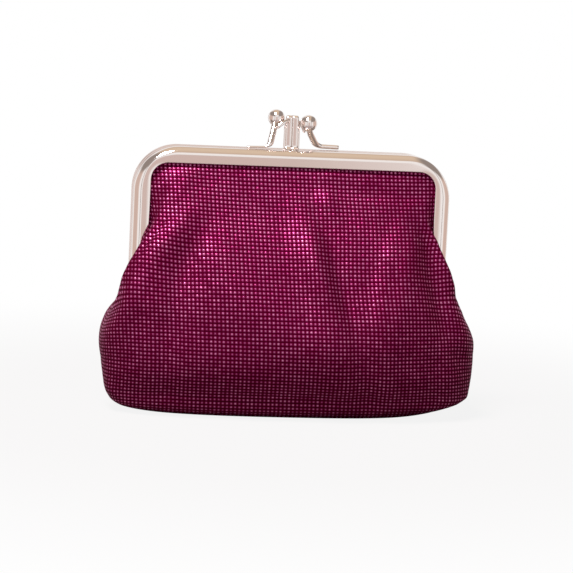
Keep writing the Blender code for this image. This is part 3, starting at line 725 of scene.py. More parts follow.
@dataclass(frozen=True)
class ChannelFrame:
    """One frame rolled from strip: a channel that opens inwards, with a flattened hinge ear at each end."""

    node: str
    body: Body
    centre_y: float
    front_shoulder: float
    rear_shoulder: float
    ear_order: int
    ear_side: int
    outline: FrameOutline = field(default_factory=FrameOutline)
    reach: float = 4.4 * MM
    width: float = 4.2 * MM
    wall: float = 0.6 * MM
    lip_radius: float = 4.5 * MM
    bar_end_z: float = 33.7 * MM
    hinge_z: float = 30.5 * MM
    ear_radius: float = 2.2 * MM
    ear_thickness: float = 0.7 * MM
    ear_outer_x: float = 42.3 * MM
    ear_pitch: float = 1.0 * MM
    ear_bevel: float = 0.12 * MM
    neck_rise: float = 2.2 * MM
    neck_inset: float = 0.2 * MM
    neck_inner: tuple[float, float] = (2.6 * MM, 2.7 * MM)
    neck_outer: tuple[float, float] = (5.0 * MM, 2.9 * MM)
    middle_eye_lap: float = 0.52
    side_eye_span: tuple[float, float] = (radians(100.0), radians(322.5))
    shoulder_steps: int = 14
    lip_steps: int = 8
    middle_eye_steps: int = 30
    side_eye_steps: int = 34

    def section(self) -> np.ndarray:
        """The section as (outward, y) from the outer face: outer wall, rounded lips and inner wall.

        Returns:
            The closed section's pairs, in order.
        """
        half, lip, wall = self.width / 2, self.wall / 2, self.wall
        outer, inner = [], []
        for sign, radius in ((-1, self.front_shoulder), (1, self.rear_shoulder)):
            centre = (self.reach - radius, sign * (half - radius))
            start, end = (-pi / 2, 0.0) if sign < 0 else (0.0, pi / 2)
            outer.append(arc(centre, radius, start, end, self.shoulder_steps))
            inner.append(arc(centre, radius - wall, start, end, self.shoulder_steps))
        rear_lip = arc((lip, half - lip), lip, pi / 2, 3 * pi / 2, self.lip_steps)
        front_lip = arc((lip, lip - half), lip, pi / 2, 3 * pi / 2, self.lip_steps)
        loop = np.concatenate([*outer, rear_lip, inner[1][::-1], inner[0][::-1], front_lip])
        return loop - np.array([self.reach, 0.0])

    def ear_outline(self) -> np.ndarray:
        """The ear as (y, z) pairs: a round eye on the hinge axis and a neck up into the bar.

        Returns:
            The closed outline's pairs, in order, with z from the hinge axis.
        """
        top = self.bar_end_z - self.hinge_z + self.neck_rise
        if self.ear_side == 0:
            half = self.width / 2 - self.neck_inset
            start, end = pi - self.middle_eye_lap, 2 * pi + self.middle_eye_lap
            eye = arc((0, 0), self.ear_radius, start, end, self.middle_eye_steps)
            return np.concatenate([[(half, top), (-half, top)], eye])
        neck = [self.neck_outer, (self.neck_outer[0], top), (self.neck_inner[0], top), self.neck_inner]
        eye = arc((0, 0), self.ear_radius, *self.side_eye_span, self.side_eye_steps)
        return np.concatenate([neck, eye]) * np.array([self.ear_side, 1.0])

    def ear(self, side: int) -> Part:
        """One ear: its outline as a plate with a small bevel round both faces.

        Args:
            side: -1 for the left ear, 1 for the right one.

        Returns:
            Its points and faces.
        """
        outline = self.ear_outline()
        around = np.roll(outline, -1, axis=0) - np.roll(outline, 1, axis=0)
        normal = unit(side_by_side(around[:, 1], -around[:, 0]))
        if np.sum(normal * (outline - outline.mean(axis=0))) > 0:
            normal = -normal
        inner = outline + normal * self.ear_bevel
        outer_x = self.ear_outer_x - self.ear_order * self.ear_pitch
        inner_x = outer_x - self.ear_thickness
        levels = (
            (inner_x, inner),
            (inner_x + self.ear_bevel, outline),
            (outer_x - self.ear_bevel, outline),
            (outer_x, inner),
        )
        rings = [side_by_side(side * x, ring[:, 0], ring[:, 1] + self.hinge_z) for x, ring in levels]
        return loft(np.array(rings))

    def build(self, finish: Material) -> Object:
        """Builds the channel with both ears as one piece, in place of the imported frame.

        Args:
            finish: the metal's material.

        Returns:
            The new piece.
        """
        channel = self.outline.sweep(self.section(), self.centre_y, self.bar_end_z, self.lip_radius)
        piece = add_piece(self.node + "_plated", join([channel, self.ear(-1), self.ear(1)]))
        dress(piece, finish)
        carry(piece, self.body, self.node)
        return piece


@dataclass(frozen=True)
class HingeRivet:
    """A rivet through the three ears at one side: a domed head outside and a spread tail inside."""

    side: int
    word: str
    hinge_z: float = 30.5 * MM
    head_x: float = 42.6 * MM
    head_radius: float = 1.8 * MM
    head_height: float = 0.6 * MM
    shaft_radius: float = 0.8 * MM
    tail_x: float = 39.3 * MM
    tail_radius: float = 1.4 * MM
    tail_height: float = 0.5 * MM
    crown_angle: float = 0.02
    dome_points: int = 9
    sides: int = 32

    def profile(self) -> np.ndarray:
        """(x, radius) pairs from the tail's end to the head's crown: each dome is a quarter ellipse.

        Returns:
            The pairs, in order.
        """
        turn = np.linspace(self.crown_angle, pi / 2, self.dome_points)
        tail = side_by_side(self.tail_x - self.tail_height * np.cos(turn), self.tail_radius * np.sin(turn))
        head = side_by_side(self.head_x + self.head_height * np.cos(turn), self.head_radius * np.sin(turn))
        shaft = np.array([(self.tail_x, self.shaft_radius), (self.head_x, self.shaft_radius)])
        return np.concatenate([tail, shaft, head[::-1]])

    def build(self, finish: Material) -> Object:
        """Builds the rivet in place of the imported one.

        Args:
            finish: the metal's material.

        Returns:
            The new piece.
        """
        axis = np.array([self.side, 0.0, 0.0])
        part = lathe(self.profile(), np.array([0.0, 0.0, self.hinge_z]), axis, self.sides)
        piece = add_piece(self.word + "_rivet_plated", part)
        dress(piece, finish)
        carry(piece, Body.POUCH, self.word + "_hinge_rivet")
        return piece


# Clasp


@dataclass(frozen=True)
class BallPost:
    """A ball on a post that is bent up from a flattened foot, soldered to the top of an outer frame."""

    side: Side
    foot_end_x: float
    bend_x: float
    foot_y: float
    foot_thickness: float
    knee: tuple[float, float, float]
    ball: tuple[float, float, float]
    top_z: float = 71.5 * MM
    seat: float = 0.2 * MM
    foot_half_width: float = 0.7 * MM
    post_radius: float = 0.86 * MM
    bend_leg: float = 1.6 * MM
    knee_leg: float = 0.9 * MM
    ball_radius: float = 2.25 * MM
    bore_radius: float = 0.75 * MM
    bore_depth: float = 1.5 * MM
    cap_radius: float = 0.62 * MM
    cap_height: float = 0.22 * MM
    foot_lift: float = 0.15 * MM
    axis_gap: float = 0.02 * MM
    nose_start_share: float = 0.12
    crown_end_angle: float = pi / 2 - 0.03
    nose_points: int = 6
    crown_points: int = 6
    bend_points: int = 13
    ball_points: int = 34
    post_sides: int = 24
    ball_sides: int = 48
    post_power: float = 2.3

    def centre_line(self) -> tuple[np.ndarray, np.ndarray]:
        """The post's centre line with its two bends, and at each point how far it is from flat to round.

        Each bend is a quadratic curve, (1-t)^2 a + 2t(1-t) b + t^2 c, from one leg to the next.

        Returns:
            The points, and a share for each: 0 where it is flat, 1 where it is round.
        """
        foot_z = self.top_z + self.seat + self.foot_thickness / 2
        end = np.array([self.foot_end_x, self.foot_y, foot_z])
        corner = np.array([self.bend_x, self.foot_y, foot_z + self.foot_lift])
        knee, ball = np.array(self.knee), np.array(self.ball)
        along, rise, reach = unit(corner - end), unit(knee - corner), unit(ball - knee)
        t = np.linspace(0.0, 1.0, self.bend_points)[:, None]

        def bend(first: np.ndarray, middle: np.ndarray, last: np.ndarray) -> np.ndarray:
            """A quadratic curve from one point to another, drawn towards a middle one."""
            return first * (1 - t) ** 2 + middle * 2 * t * (1 - t) + last * t**2

        nose = end + along * self.foot_half_width * np.linspace(0.0, 1.0, self.nose_points)[:, None] ** 2
        low = bend(corner - along * self.bend_leg, corner, corner + rise * self.bend_leg)
        high = bend(knee - rise * self.knee_leg, knee, knee + reach * self.knee_leg)
        into = ball - reach * (self.ball_radius - self.bore_depth + self.seat)
        line = np.concatenate([nose, low, high, into[None]])
        share = np.concatenate([np.zeros(len(nose)), smooth_step(t[:, 0], 0.0, 1.0), np.ones(len(high) + 1)])
        return line, share

    def post(self) -> Part:
        """The post: an ellipse that goes from the flat foot's to the round wire's along the centre line.

        Returns:
            Its points and faces.
        """
        line, share = self.centre_line()
        wide = self.foot_half_width + (self.post_radius - self.foot_half_width) * share
        thick = self.foot_thickness / 2 + (self.post_radius - self.foot_thickness / 2) * share
        nose = np.sqrt(1 - (1 - np.linspace(self.nose_start_share, 1.0, self.nose_points)) ** 2)
        wide[: self.nose_points] *= nose
        thick[: self.nose_points] *= 0.5 + nose / 2
        line[:, 2] += np.maximum(thick - self.foot_thickness / 2, 0.0) * (1 - share)
        return tube(line, wide, thick, self.post_sides, self.post_power)

    def bead(self) -> Part:
        """The ball: a circle's arc turned about the post's top, from the bore's rim to a small flat cap.

        Returns:
            Its points and faces.
        """
        reach = unit(np.array(self.ball) - np.array(self.knee))
        radius = self.ball_radius
        start = np.arcsin(self.bore_radius / radius)
        turn = np.linspace(start, pi - np.arcsin(self.cap_radius / radius), self.ball_points)
        floor = self.bore_depth - radius * cos(start)
        bore = [(floor, self.axis_gap), (floor, self.bore_radius)]
        sphere = side_by_side(-radius * np.cos(turn), radius * np.sin(turn))
        crown = np.linspace(0.0, self.crown_end_angle, self.crown_points)
        cap = side_by_side(sphere[-1, 0] + self.cap_height * np.sin(crown), self.cap_radius * np.cos(crown))
        return lathe(np.concatenate([bore, sphere, cap]), np.array(self.ball), reach, self.ball_sides)

    def build(self, finish: Material) -> None:
        """Builds the post and the ball as two pieces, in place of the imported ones.

        Args:
            finish: the metal's material.
        """
        for word, part in (("post", self.post()), ("ball", self.bead())):
            piece = add_piece(f"{self.side.word}_clasp_{word}_plated", part, sharp=CLASP_SHARP)
            dress(piece, finish)
            carry(piece, self.side.body, f"{self.side.word}_clasp_{word}")


@dataclass(frozen=True)
class CatchArm:
    """One drooping arm of the catch: a band from inside the ribs to a tip below its ball.

    root, rise, fall and tip are the four points of a cubic Bezier curve.
    """

    root: tuple[float, float, float]
    rise: tuple[float, float, float]
    fall: tuple[float, float, float]
    tip: tuple[float, float, float]


@dataclass(frozen=True)
class CentreCatch:
    """The catch on the middle frame: two pressed ribs between side flanges, and an arm under each ball."""

    front_arm: CatchArm
    rear_arm: CatchArm
    centre_x: float = -0.5 * MM
    top_z: float = 71.5 * MM
    seat: float = 0.2 * MM
    height: float = 8.9 * MM
    half_width: float = 1.7 * MM
    core_half: float = 0.3 * MM
    rib_height: float = 0.55 * MM
    crown_height: float = 0.85 * MM
    flange_half_width: float = 2.15 * MM
    flange_half_depth: float = 0.4 * MM
    flange_height: float = 6.6 * MM
    foot_flare: float = 0.35 * MM
    arm_half_depth: float = 0.5 * MM
    arm_root: float = 0.6 * MM
    arm_tip: float = 0.42 * MM
    flare_rise: float = 0.35 * MM
    straight_levels: tuple[float, ...] = (0.0, 0.15 * MM, 0.5 * MM, 1 * MM, 3 * MM, 5 * MM, 7 * MM)
    crown_angle: float = pi / 2 - 0.12
    crown_width_share: float = 0.72
    flange_root_share: float = 0.9
    flange_fade: tuple[float, float] = (0.85, 0.16)
    arm_nose_share: float = 0.08
    arm_end_share: float = 0.06
    rib_points: int = 22
    crown_levels: int = 9
    flange_levels: int = 12
    flange_sides: int = 28
    flange_power: float = 5.0
    arm_points: int = 28
    arm_sides: int = 24
    arm_power: float = 3.0

    def ribs(self) -> Part:
        """The upright: two flat-topped ribs side by side, with a shoulder that rounds over at the top.

        A rib's section is (1 - c^4)^(1/4), c the share across it. At each level the section is scaled by the
        crown's quarter ellipse, and its foot flares a little.

        Returns:
            Their points and faces.
        """
        span = np.linspace(0.0, pi, self.rib_points)
        centre = self.half_width / 2
        x = np.concatenate([-centre - centre * np.cos(span), (centre - centre * np.cos(span))[1:]])
        across = np.clip((np.abs(x) - centre) / centre, -1, 1)
        depth = self.core_half + self.rib_height * (1 - across**4) ** 0.25
        section = np.concatenate([side_by_side(x, -depth), side_by_side(x, depth)[::-1]])
        turn = np.linspace(0.0, self.crown_angle, self.crown_levels)
        crown_z = self.height - self.crown_height + self.crown_height * np.sin(turn)
        levels = np.concatenate([self.straight_levels, crown_z])
        straight = np.ones(len(self.straight_levels))
        crown_width = self.crown_width_share + (1 - self.crown_width_share) * np.cos(turn)
        flare = self.foot_flare * np.exp(-levels / self.flare_rise)
        wide = np.concatenate([straight, crown_width]) * (1 + flare / self.half_width)
        deep = np.concatenate([straight, np.cos(turn)]) * (1 + flare / self.rib_height)
        z = self.top_z + self.seat + levels[:, None]
        return loft(side_by_side(section[:, 0] * wide[:, None], section[:, 1] * deep[:, None], z))

    def flanges(self) -> Part:
        """The side flanges as one rounded upright plate through the ribs.

        Returns:
            Their points and faces.
        """
        levels = np.linspace(0.0, self.flange_height, self.flange_levels)
        path = side_by_side(0.0, 0.0, self.top_z + self.seat + levels)
        start, length = self.flange_fade
        fade = np.sqrt(1 - np.clip((levels / self.flange_height - start) / length, 0, 1) ** 2)
        root = self.half_width * self.flange_root_share
        wide = root + (self.flange_half_width - root) * fade
        deep = np.full_like(levels, self.flange_half_depth)
        return tube(path, deep, wide, self.flange_sides, self.flange_power)

    def arm(self, arm: CatchArm) -> Part:
        """An arm: a rounded band along its curve, thinner towards the tip, whose end is rounded off.

        Args:
            arm: the four points of its curve.

        Returns:
            Its points and faces.
        """
        t = np.linspace(0.0, 1.0, self.arm_points)
        points = np.array([arm.root, arm.rise, arm.fall, arm.tip])
        shares = side_by_side((1 - t) ** 3, 3 * t * (1 - t) ** 2, 3 * t**2 * (1 - t), t**3)
        half = self.arm_root + (self.arm_tip - self.arm_root) * t
        nose = np.sqrt(np.clip((1 - t) / self.arm_nose_share, self.arm_end_share, 1))
        return tube(shares @ points, self.arm_half_depth * nose, half * nose, self.arm_sides, self.arm_power)

    def build(self, finish: Material) -> Object:
        """Builds the catch as one piece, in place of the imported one.

        Args:
            finish: the metal's material.

        Returns:
            The new piece.
        """
        parts = [self.ribs(), self.flanges(), self.arm(self.front_arm), self.arm(self.rear_arm)]
        points, faces = join(parts)
        moved = points + (self.centre_x, 0.0, 0.0)
        piece = add_piece("centre_catch_plated", (moved, faces), sharp=CLASP_SHARP)
        dress(piece, finish)
        carry(piece, Body.POUCH, "centre_catch")
        return piece


# Cloth


def spline_weights(controls: int, samples: np.ndarray) -> np.ndarray:
    """How much each control point of a clamped cubic B-spline counts at parameters from 0 to 1.

    Args:
        controls: number of control points.
        samples: the parameters.

    Returns:
        Weights as (sample, control point), each row adding up to 1.
    """
    inner = np.linspace(0.0, 1.0, controls - 2)
    knots = np.concatenate([np.zeros(3), inner, np.ones(3)])
    t = np.clip(samples, 0.0, 1.0 - 1e-9)[:, None]
    basis = ((knots[:-1] <= t) & (t < knots[1:])).astype(float)
    for degree in (1, 2, 3):
        low, high = knots[: -degree - 1], knots[degree + 1 :]
        span = knots[degree:-1] - low
        next_span = high - knots[1:-degree]
        rising = np.divide(t - low, span, out=np.zeros((len(t), len(low))), where=span > 0)
        falling = np.divide(high - t, next_span, out=np.zeros((len(t), len(low))), where=next_span > 0)
        basis = rising * basis[:, :-1] + falling * basis[:, 1:]
    return basis


def even_samples(control: np.ndarray, count: int, axis: int) -> np.ndarray:
    """Parameters along one direction of a control net that come out evenly spaced in length, on average.

    Args:
        control: the net's points as (row, column, xyz).
        count: how many parameters.
        axis: the direction, 0 down the rows or 1 across them.

    Returns:
        The parameters, from 0 to 1.
    """
    dense = np.linspace(0.0, 1.0, DENSE_SAMPLES)
    weights = spline_weights(control.shape[axis], dense)
    net = np.moveaxis(control, axis, 0)
    line = np.einsum("sc,cox->sox", weights, net)
    steps = np.linalg.norm(np.diff(line, axis=0), axis=-1).mean(axis=1)
    length = np.concatenate([[0.0], np.cumsum(steps)])
    return np.interp(np.linspace(0.0, length[-1], count), length, dense)


def spline_surface(control: np.ndarray, rows: int, columns: int) -> np.ndarray:
    """A smooth surface near a net of control points, as an even grid of points.

    Args:
        control: the net's points as (row, column, xyz).
        rows: number of rows of points.
        columns: number of columns of points.

    Returns:
        The points as (row, column, xyz).
    """
    down = spline_weights(control.shape[0], even_samples(control, rows, 0))
    across = spline_weights(control.shape[1], even_samples(control, columns, 1))
    return np.einsum("rc,sd,cdx->rsx", down, across, control)


def grid_normals(grid: np.ndarray) -> np.ndarray:
    """Outward normals of a grid whose columns run from +X to -X and rows downwards."""
    return unit(np.cross(np.gradient(grid, axis=1), np.gradient(grid, axis=0)))


def run_lengths(grid: np.ndarray, axis: int) -> np.ndarray:
    """Distance along the grid's lines from their start.

    Args:
        grid: points as (row, column, xyz).
        axis: 0 down the columns or 1 along the rows.

    Returns:
        A distance for each point.
    """
    steps = np.linalg.norm(np.diff(grid, axis=axis), axis=-1)
    pad = [(0, 0), (0, 0)]
    pad[axis] = (1, 0)
    return np.cumsum(np.pad(steps, pad), axis=axis)


@dataclass(frozen=True)
class Fold:
    """A swelling or a crease of the cloth: a stretched Gaussian on the face, which may bow.

    x and z are its middle in millimetres, lean its turn from upright towards +X in degrees, length and width
    how far it reaches along and across, in millimetres, height how far the cloth stands out along its normal,
    negative for a crease, and bow how far its line has gone aside at one length from its middle.
    """

    x: float
    z: float
    lean: float
    length: float
    width: float
    height: float
    bow: float = 0.0

    def lift(self, x: np.ndarray, z: np.ndarray) -> np.ndarray:
        """height * exp(-a^2 - c^2), a and c the shares along and across: metres, at points in millimetres.

        Args:
            x: the points' x, in millimetres.
            z: their height, in millimetres.

        Returns:
            How far each point is lifted, in metres.
        """
        turn = radians(self.lean)
        along = ((x - self.x) * sin(turn) + (z - self.z) * cos(turn)) / self.length
        across = ((x - self.x) * cos(turn) - (z - self.z) * sin(turn) - self.bow * along**2) / self.width
        return self.height * MM * np.exp(-(along**2) - across**2)


@dataclass(frozen=True)
class PouchShape:
    """The pouch's outline: half its width and half its depth at each height, and how it meets the frame."""

    outline: FrameOutline = field(default_factory=FrameOutline)
    half_width: float = 49.3 * MM
    half_depth: float = 19.5 * MM
    level_shares: tuple[float, ...] = (
        0.0, 0.017, 0.048, 0.09, 0.147, 0.21, 0.273, 0.335, 0.39, 0.44,
        0.49, 0.54, 0.587, 0.643, 0.70, 0.755, 0.81, 0.86, 0.90, 0.93,
    )  # fmt: skip
    width_shares: tuple[float, ...] = (
        0.65, 0.82, 0.925, 0.97, 0.99, 1.0, 1.0, 0.986, 0.95, 0.915,
        0.888, 0.852, 0.82, 0.79, 0.771, 0.76, 0.76, 0.76, 0.76, 0.76,
    )  # fmt: skip
    depth_shares: tuple[float, ...] = (
        0.46, 0.615, 0.75, 0.86, 0.95, 0.99, 1.0, 0.975, 0.944, 0.903,
        0.862, 0.815, 0.77, 0.713, 0.651, 0.585, 0.513, 0.446, 0.38, 0.297,
    )  # fmt: skip
    # How far each side stands out past that outline in the photograph, in millimetres, at heights in the same
    spread_levels: tuple[float, ...] = (
        0.0, 2.0, 4.0, 6.0, 8.0, 10.0, 14.0, 18.0, 22.0, 26.0, 30.0, 34.0, 38.0, 41.0, 45.0, 49.0, 54.0, 58.0,
    )  # fmt: skip
    left_spread: tuple[float, ...] = (
        5.0, 3.0, 1.6, 0.8, 0.3, 0.1, 0.1, 0.7, 1.2, 1.6, 2.4, 3.0, 3.3, 3.1, 2.4, 1.6, 0.7, 0.0,
    )  # fmt: skip
    right_spread: tuple[float, ...] = (
        0.0, 0.6, 3.0, 3.9, 3.3, 3.0, 2.7, 2.6, 3.1, 3.2, 3.0, 2.4, 2.9, 3.0, 2.7, 2.4, 0.8, 0.0,
    )  # fmt: skip
    rear_drop: tuple[float, float] = (25.0, 31.0)
    full_spread_x: float = 40 * MM
    frame_front: tuple[float, float] = (6.9, 8.6)
    bar_ends: tuple[float, float] = (30.0, 36.0)

    def settle(self, grid: np.ndarray, side: Side) -> np.ndarray:
        """Lets the filled pouch sag out at its sides, further on the right, as soft cloth does.

        x grows by the side's spread at that height times (|x| / full spread's x)^2. Above the hinges only
        cloth that lies in front of the frame moves, so that the channels keep theirs, and the rear cloth
        stays in line with its frame.

        Args:
            grid: a layer's points.
            side: the side that it is for.

        Returns:
            The moved points.
        """
        x, y, z = grid[..., 0], grid[..., 1], grid[..., 2] / MM
        left = np.interp(z, self.spread_levels, self.left_spread)
        right = np.interp(z, self.spread_levels, self.right_spread)
        if side is Side.REAR:
            keep = 1 - smooth_step(z, *self.rear_drop)
            left, right = left * keep, right * keep
        spread = np.where(x < 0, -left, right) * MM
        share = np.clip(np.abs(x) / self.full_spread_x, 0.0, 1.0) ** 2
        before_frame = smooth_step(np.abs(y) / MM, *self.frame_front)
        free = 1 - smooth_step(z, *self.bar_ends) * (1 - before_frame)
        moved = grid.copy()
        moved[..., 0] = x + spread * share * free
        return moved

    def width_at(self, z: float | np.ndarray, inset: float = 0.0) -> float | np.ndarray:
        """Half the width at a height, drawn in by an inset."""
        level = z / self.outline.top_z
        return self.half_width * np.interp(level, self.level_shares, self.width_shares) - inset

    def depth_at(self, z: float, inset: float = 0.0) -> float:
        """Half the depth at a height, drawn in by an inset."""
        level = z / self.outline.top_z
        return self.half_depth * np.interp(level, self.level_shares, self.depth_shares) - inset


@dataclass(frozen=True)
class ClothLayer:
    """What tells the outer cloth and the lining apart: how deep they lie and how their free edge runs."""

    plane_y: float
    grip: float
    lip_inset: float
    thickness: float
    inset: float
    seam_half_gap: float
    free_edge: tuple[tuple[float, float, float, float], ...]


OUTER_LAYER = ClothLayer(
    plane_y=-5.8 * MM,
    grip=2.1 * MM,
    lip_inset=4.8 * MM,
    thickness=0.6 * MM,
    inset=0.0,
    seam_half_gap=0.02 * MM,
    free_edge=(
        (35.2 * MM, 39.3 * MM, -6.0 * MM, 34.6 * MM),
        (33.8 * MM, 41.3 * MM, -5.9 * MM, 32.3 * MM),
        (32.5 * MM, 43.5 * MM, -4.2 * MM, 30.0 * MM),
    ),
)
LINING_LAYER = ClothLayer(
    plane_y=-5.0 * MM,
    grip=1.3 * MM,
    lip_inset=6.0 * MM,
    thickness=0.4 * MM,
    inset=2.6 * MM,
    seam_half_gap=0.1 * MM,
    free_edge=(
        (35.2 * MM, 38.1 * MM, -5.0 * MM, 35.0 * MM),
        (33.8 * MM, 38.1 * MM, -4.4 * MM, 32.5 * MM),
        (32.5 * MM, 39.3 * MM, -3.0 * MM, 28.4 * MM),
    ),
)


@dataclass(frozen=True)
class PouchNet:
    """The net of control points for one layer of the front, from the top channel to the bottom seam.

    Columns run from the free edge, at +X, to the middle and on to the other edge. Rows of three kinds follow
    each other downwards: in the channel, over the face below it, and round the body below the hinges.
    """

    shape: PouchShape
    layer: ClothLayer
    clear_y: float = -7.05 * MM
    roll_y: float = -8.4 * MM
    waist: float = 9.0 * MM
    waist_z: float = 24.0 * MM
    waist_reach: float = 10.0 * MM
    least_depth: float = 3.6 * MM
    field_rise: float = 2.6
    field_fall: float = 1.8
    seam_dip: float = 3.7 * MM
    seam_dip_angle: float = radians(22.0)
    bottom_seam_share: float = 0.57
    roll_start: float = 57.2 * MM
    roll_full: float = 46.0 * MM
    roll_extra: float = 0.9 * MM
    lip_slack: float = 0.25 * MM
    lip_wrap: float = 0.35 * MM
    clear_extra: float = 0.1 * MM
    channel_reach: float = 4.4 * MM
    hinge_z: float = 30.5 * MM
    hang_top_z: float = 31 * MM
    hang_radius: float = 16.0 * MM
    hang_levels: tuple[float, ...] = (44 * MM, 51 * MM, 58 * MM, 64 * MM)
    hang_depths: tuple[float, ...] = (7.4 * MM, 7.2 * MM, 6.6 * MM, 5.7 * MM)
    face_power: float = 3.4
    base_power: float = 2.6
    bottom_seam_power: float = 0.77
    channel_rises: tuple[float, ...] = (2.1, 3.2, 4.3)
    face_levels: tuple[float, ...] = (
        66.8, 65.6, 64.2, 62.2, 59.8, 57.0, 53.8, 50.4, 47.0, 43.6, 40.4, 38.2, 36.6,
    )  # fmt: skip
    body_levels: tuple[float, ...] = (31.2, 28.2, 24.6, 20.6, 16.6, 12.6, 8.9, 5.6, 2.9, 1.1)
    body_powers: tuple[float, ...] = (3.4, 3.2, 3.0, 2.8, 2.6, 2.6, 2.6, 2.6, 2.6, 2.6)
    dipping_rows: int = 5
    lip_shares: tuple[float, ...] = (
        1.0, 0.997, 0.985, 0.965, 0.94, 0.90, 0.845, 0.77, 0.67, 0.54, 0.39, 0.22, 0.0,
    )  # fmt: skip
    edge_angles: tuple[float, ...] = (0.0, 2.5, 5.0, 7.5, 10.0, 12.0)
    face_angles: tuple[float, ...] = (14.0, 21.0, 30.0, 40.0, 51.0, 62.0, 72.0, 81.5, 90.0)
    edge_ways: tuple[float, ...] = (0.0, 0.16, 0.33, 0.5, 0.68, 0.85)

    def lining_depth(self, z: float) -> float:
        """Half the lining's depth above the hinges: a circle round them, then nearly straight upwards.

        Args:
            z: the height.

        Returns:
            The half depth there.
        """
        straight = np.interp(z, self.hang_levels, self.hang_depths)
        circle = np.sqrt(max(self.hang_radius**2 - (z - self.hinge_z) ** 2, 0.0))
        return max(circle, straight)

    def depth(self, z: float) -> float:
        """Half depth of this layer at a height.

        The lining is drawn in round the line where the cloth folds, by waist * exp(-((z - fold) / reach)^2),
        so that the outer cloth can fold inwards over it.

        Args:
            z: the height.

        Returns:
            The half depth there.
        """
        body = self.shape.depth_at(z, self.layer.inset)
        if self.layer.inset == 0:
            return body
        hanging = min(self.lining_depth(z), body) if z > self.hang_top_z else body
        drawn_in = self.waist * float(np.exp(-(((z - self.waist_z) / self.waist_reach) ** 2)))
        return max(hanging - drawn_in, min(hanging, self.least_depth))

    def ellipse(self, z: float, power: float, angles: tuple[float, ...]) -> tuple[np.ndarray, np.ndarray]:
        """Plan of the body at a height: x = w cos^(2/p), y = -(gap + (d - gap) sin^(2/p)).

        Args:
            z: the height.
            power: 2 for an ellipse, more for a squarer plan.
            angles: degrees, from 0 at the side to 90 in the middle.

        Returns:
            x and y at each angle.
        """
        turn = np.radians(angles)
        width = self.shape.width_at(z, self.layer.inset)
        x = width * np.maximum(np.cos(turn), 0.0) ** (2 / power)
        gap = self.layer.seam_half_gap
        y = -(gap + (self.depth(z) - gap) * np.sin(turn) ** (2 / power))
        x[-1] = 0.0 if angles[-1] == 90.0 else x[-1]
        return x, y

    def channel_row(self, z: float) -> np.ndarray:
        """A level in the top channel, where the cloth lies flat.

        Args:
            z: the level's height.

        Returns:
            The row's points, from the free edge to the middle.
        """
        edge = self.shape.outline.half_width_at(self.layer.grip, z)
        lip = (edge + self.shape.outline.half_width_at(self.channel_reach, z)) / 2
        x = np.concatenate([[edge, (edge + lip) / 2], lip * np.array(self.lip_shares)])
        return side_by_side(x, self.layer.plane_y, z)

    def face_row(self, z: float) -> np.ndarray:
        """A level on the face: out of the side channels and over to the middle.

        High up it swells from the lip by (1 - share^rise)^(1/fall). Low down it turns back round the lip and
        rolls out over the bar, then follows the body's plan. Between, the two are mixed.

        Args:
            z: the level's height.

        Returns:
            The row's points, from the free edge to the middle.
        """
        plane = self.layer.plane_y
        edge = float(self.shape.outline.half_width_at(self.layer.grip, z))
        lip = float(self.shape.outline.half_width_at(self.layer.lip_inset, z))
        share = np.array(self.lip_shares)
        bulge = max(self.depth(z) + plane, 0.0)
        swell = (1 - share**self.field_rise) ** (1 / self.field_fall)
        high_x = np.concatenate([[edge, (edge + lip) / 2], lip * share])
        high_y = np.concatenate([[plane, plane], plane - bulge * swell])
        if self.layer.inset > 0:
            return side_by_side(high_x, high_y, z)
        x, y = self.ellipse(z, self.face_power, self.face_angles)
        y[0] = min(y[0], self.roll_y)
        y[1] = min(y[1], self.roll_y - self.roll_extra)
        x[0] = max(x[0], lip)
        slack, clear = lip + self.lip_slack, self.clear_y
        turn_x = (edge, (edge + lip) / 2, slack, lip - self.lip_wrap, slack, (lip + x[0]) / 2)
        turn_y = (plane, plane, plane, (plane + clear) / 2, clear, clear - self.clear_extra)
        low_x, low_y = np.concatenate([turn_x, x]), np.concatenate([turn_y, y])
        mix = float(smooth_step(z, self.roll_full, self.roll_start))
        return side_by_side(low_x + (high_x - low_x) * mix, low_y + (high_y - low_y) * mix, z)

    def dip(self, drop: float) -> np.ndarray:
        """How far each column falls towards the side seam: drop * exp(-(angle / width)^2)."""
        turn = np.radians(self.edge_angles + self.face_angles)
        return drop * np.exp(-((turn / self.seam_dip_angle) ** 2))

    def free_row(self, edge: tuple[float, float, float, float]) -> np.ndarray:
        """A level between the channel and the side seam, whose free edge passes in front of the ears.

        Args:
            edge: the level's height, then its free edge's x, y and z.

        Returns:
            The row's points, from the free edge to the middle.
        """
        z, edge_x, edge_y, edge_z = edge
        x, y = self.ellipse(z, self.face_power, self.face_angles)
        way = np.array(self.edge_ways)
        row_x = np.concatenate([edge_x + (x[0] - edge_x) * way, x])
        row_y = np.concatenate([edge_y + (y[0] - edge_y) * way, y])
        return side_by_side(row_x, row_y, z - self.dip(z - edge_z))

    def body_row(self, z: float, power: float, drop: float) -> np.ndarray:
        """A level of the body, sewn at its sides."""
        x, y = self.ellipse(z, power, self.edge_angles + self.face_angles)
        return side_by_side(x, y, z - self.dip(drop))

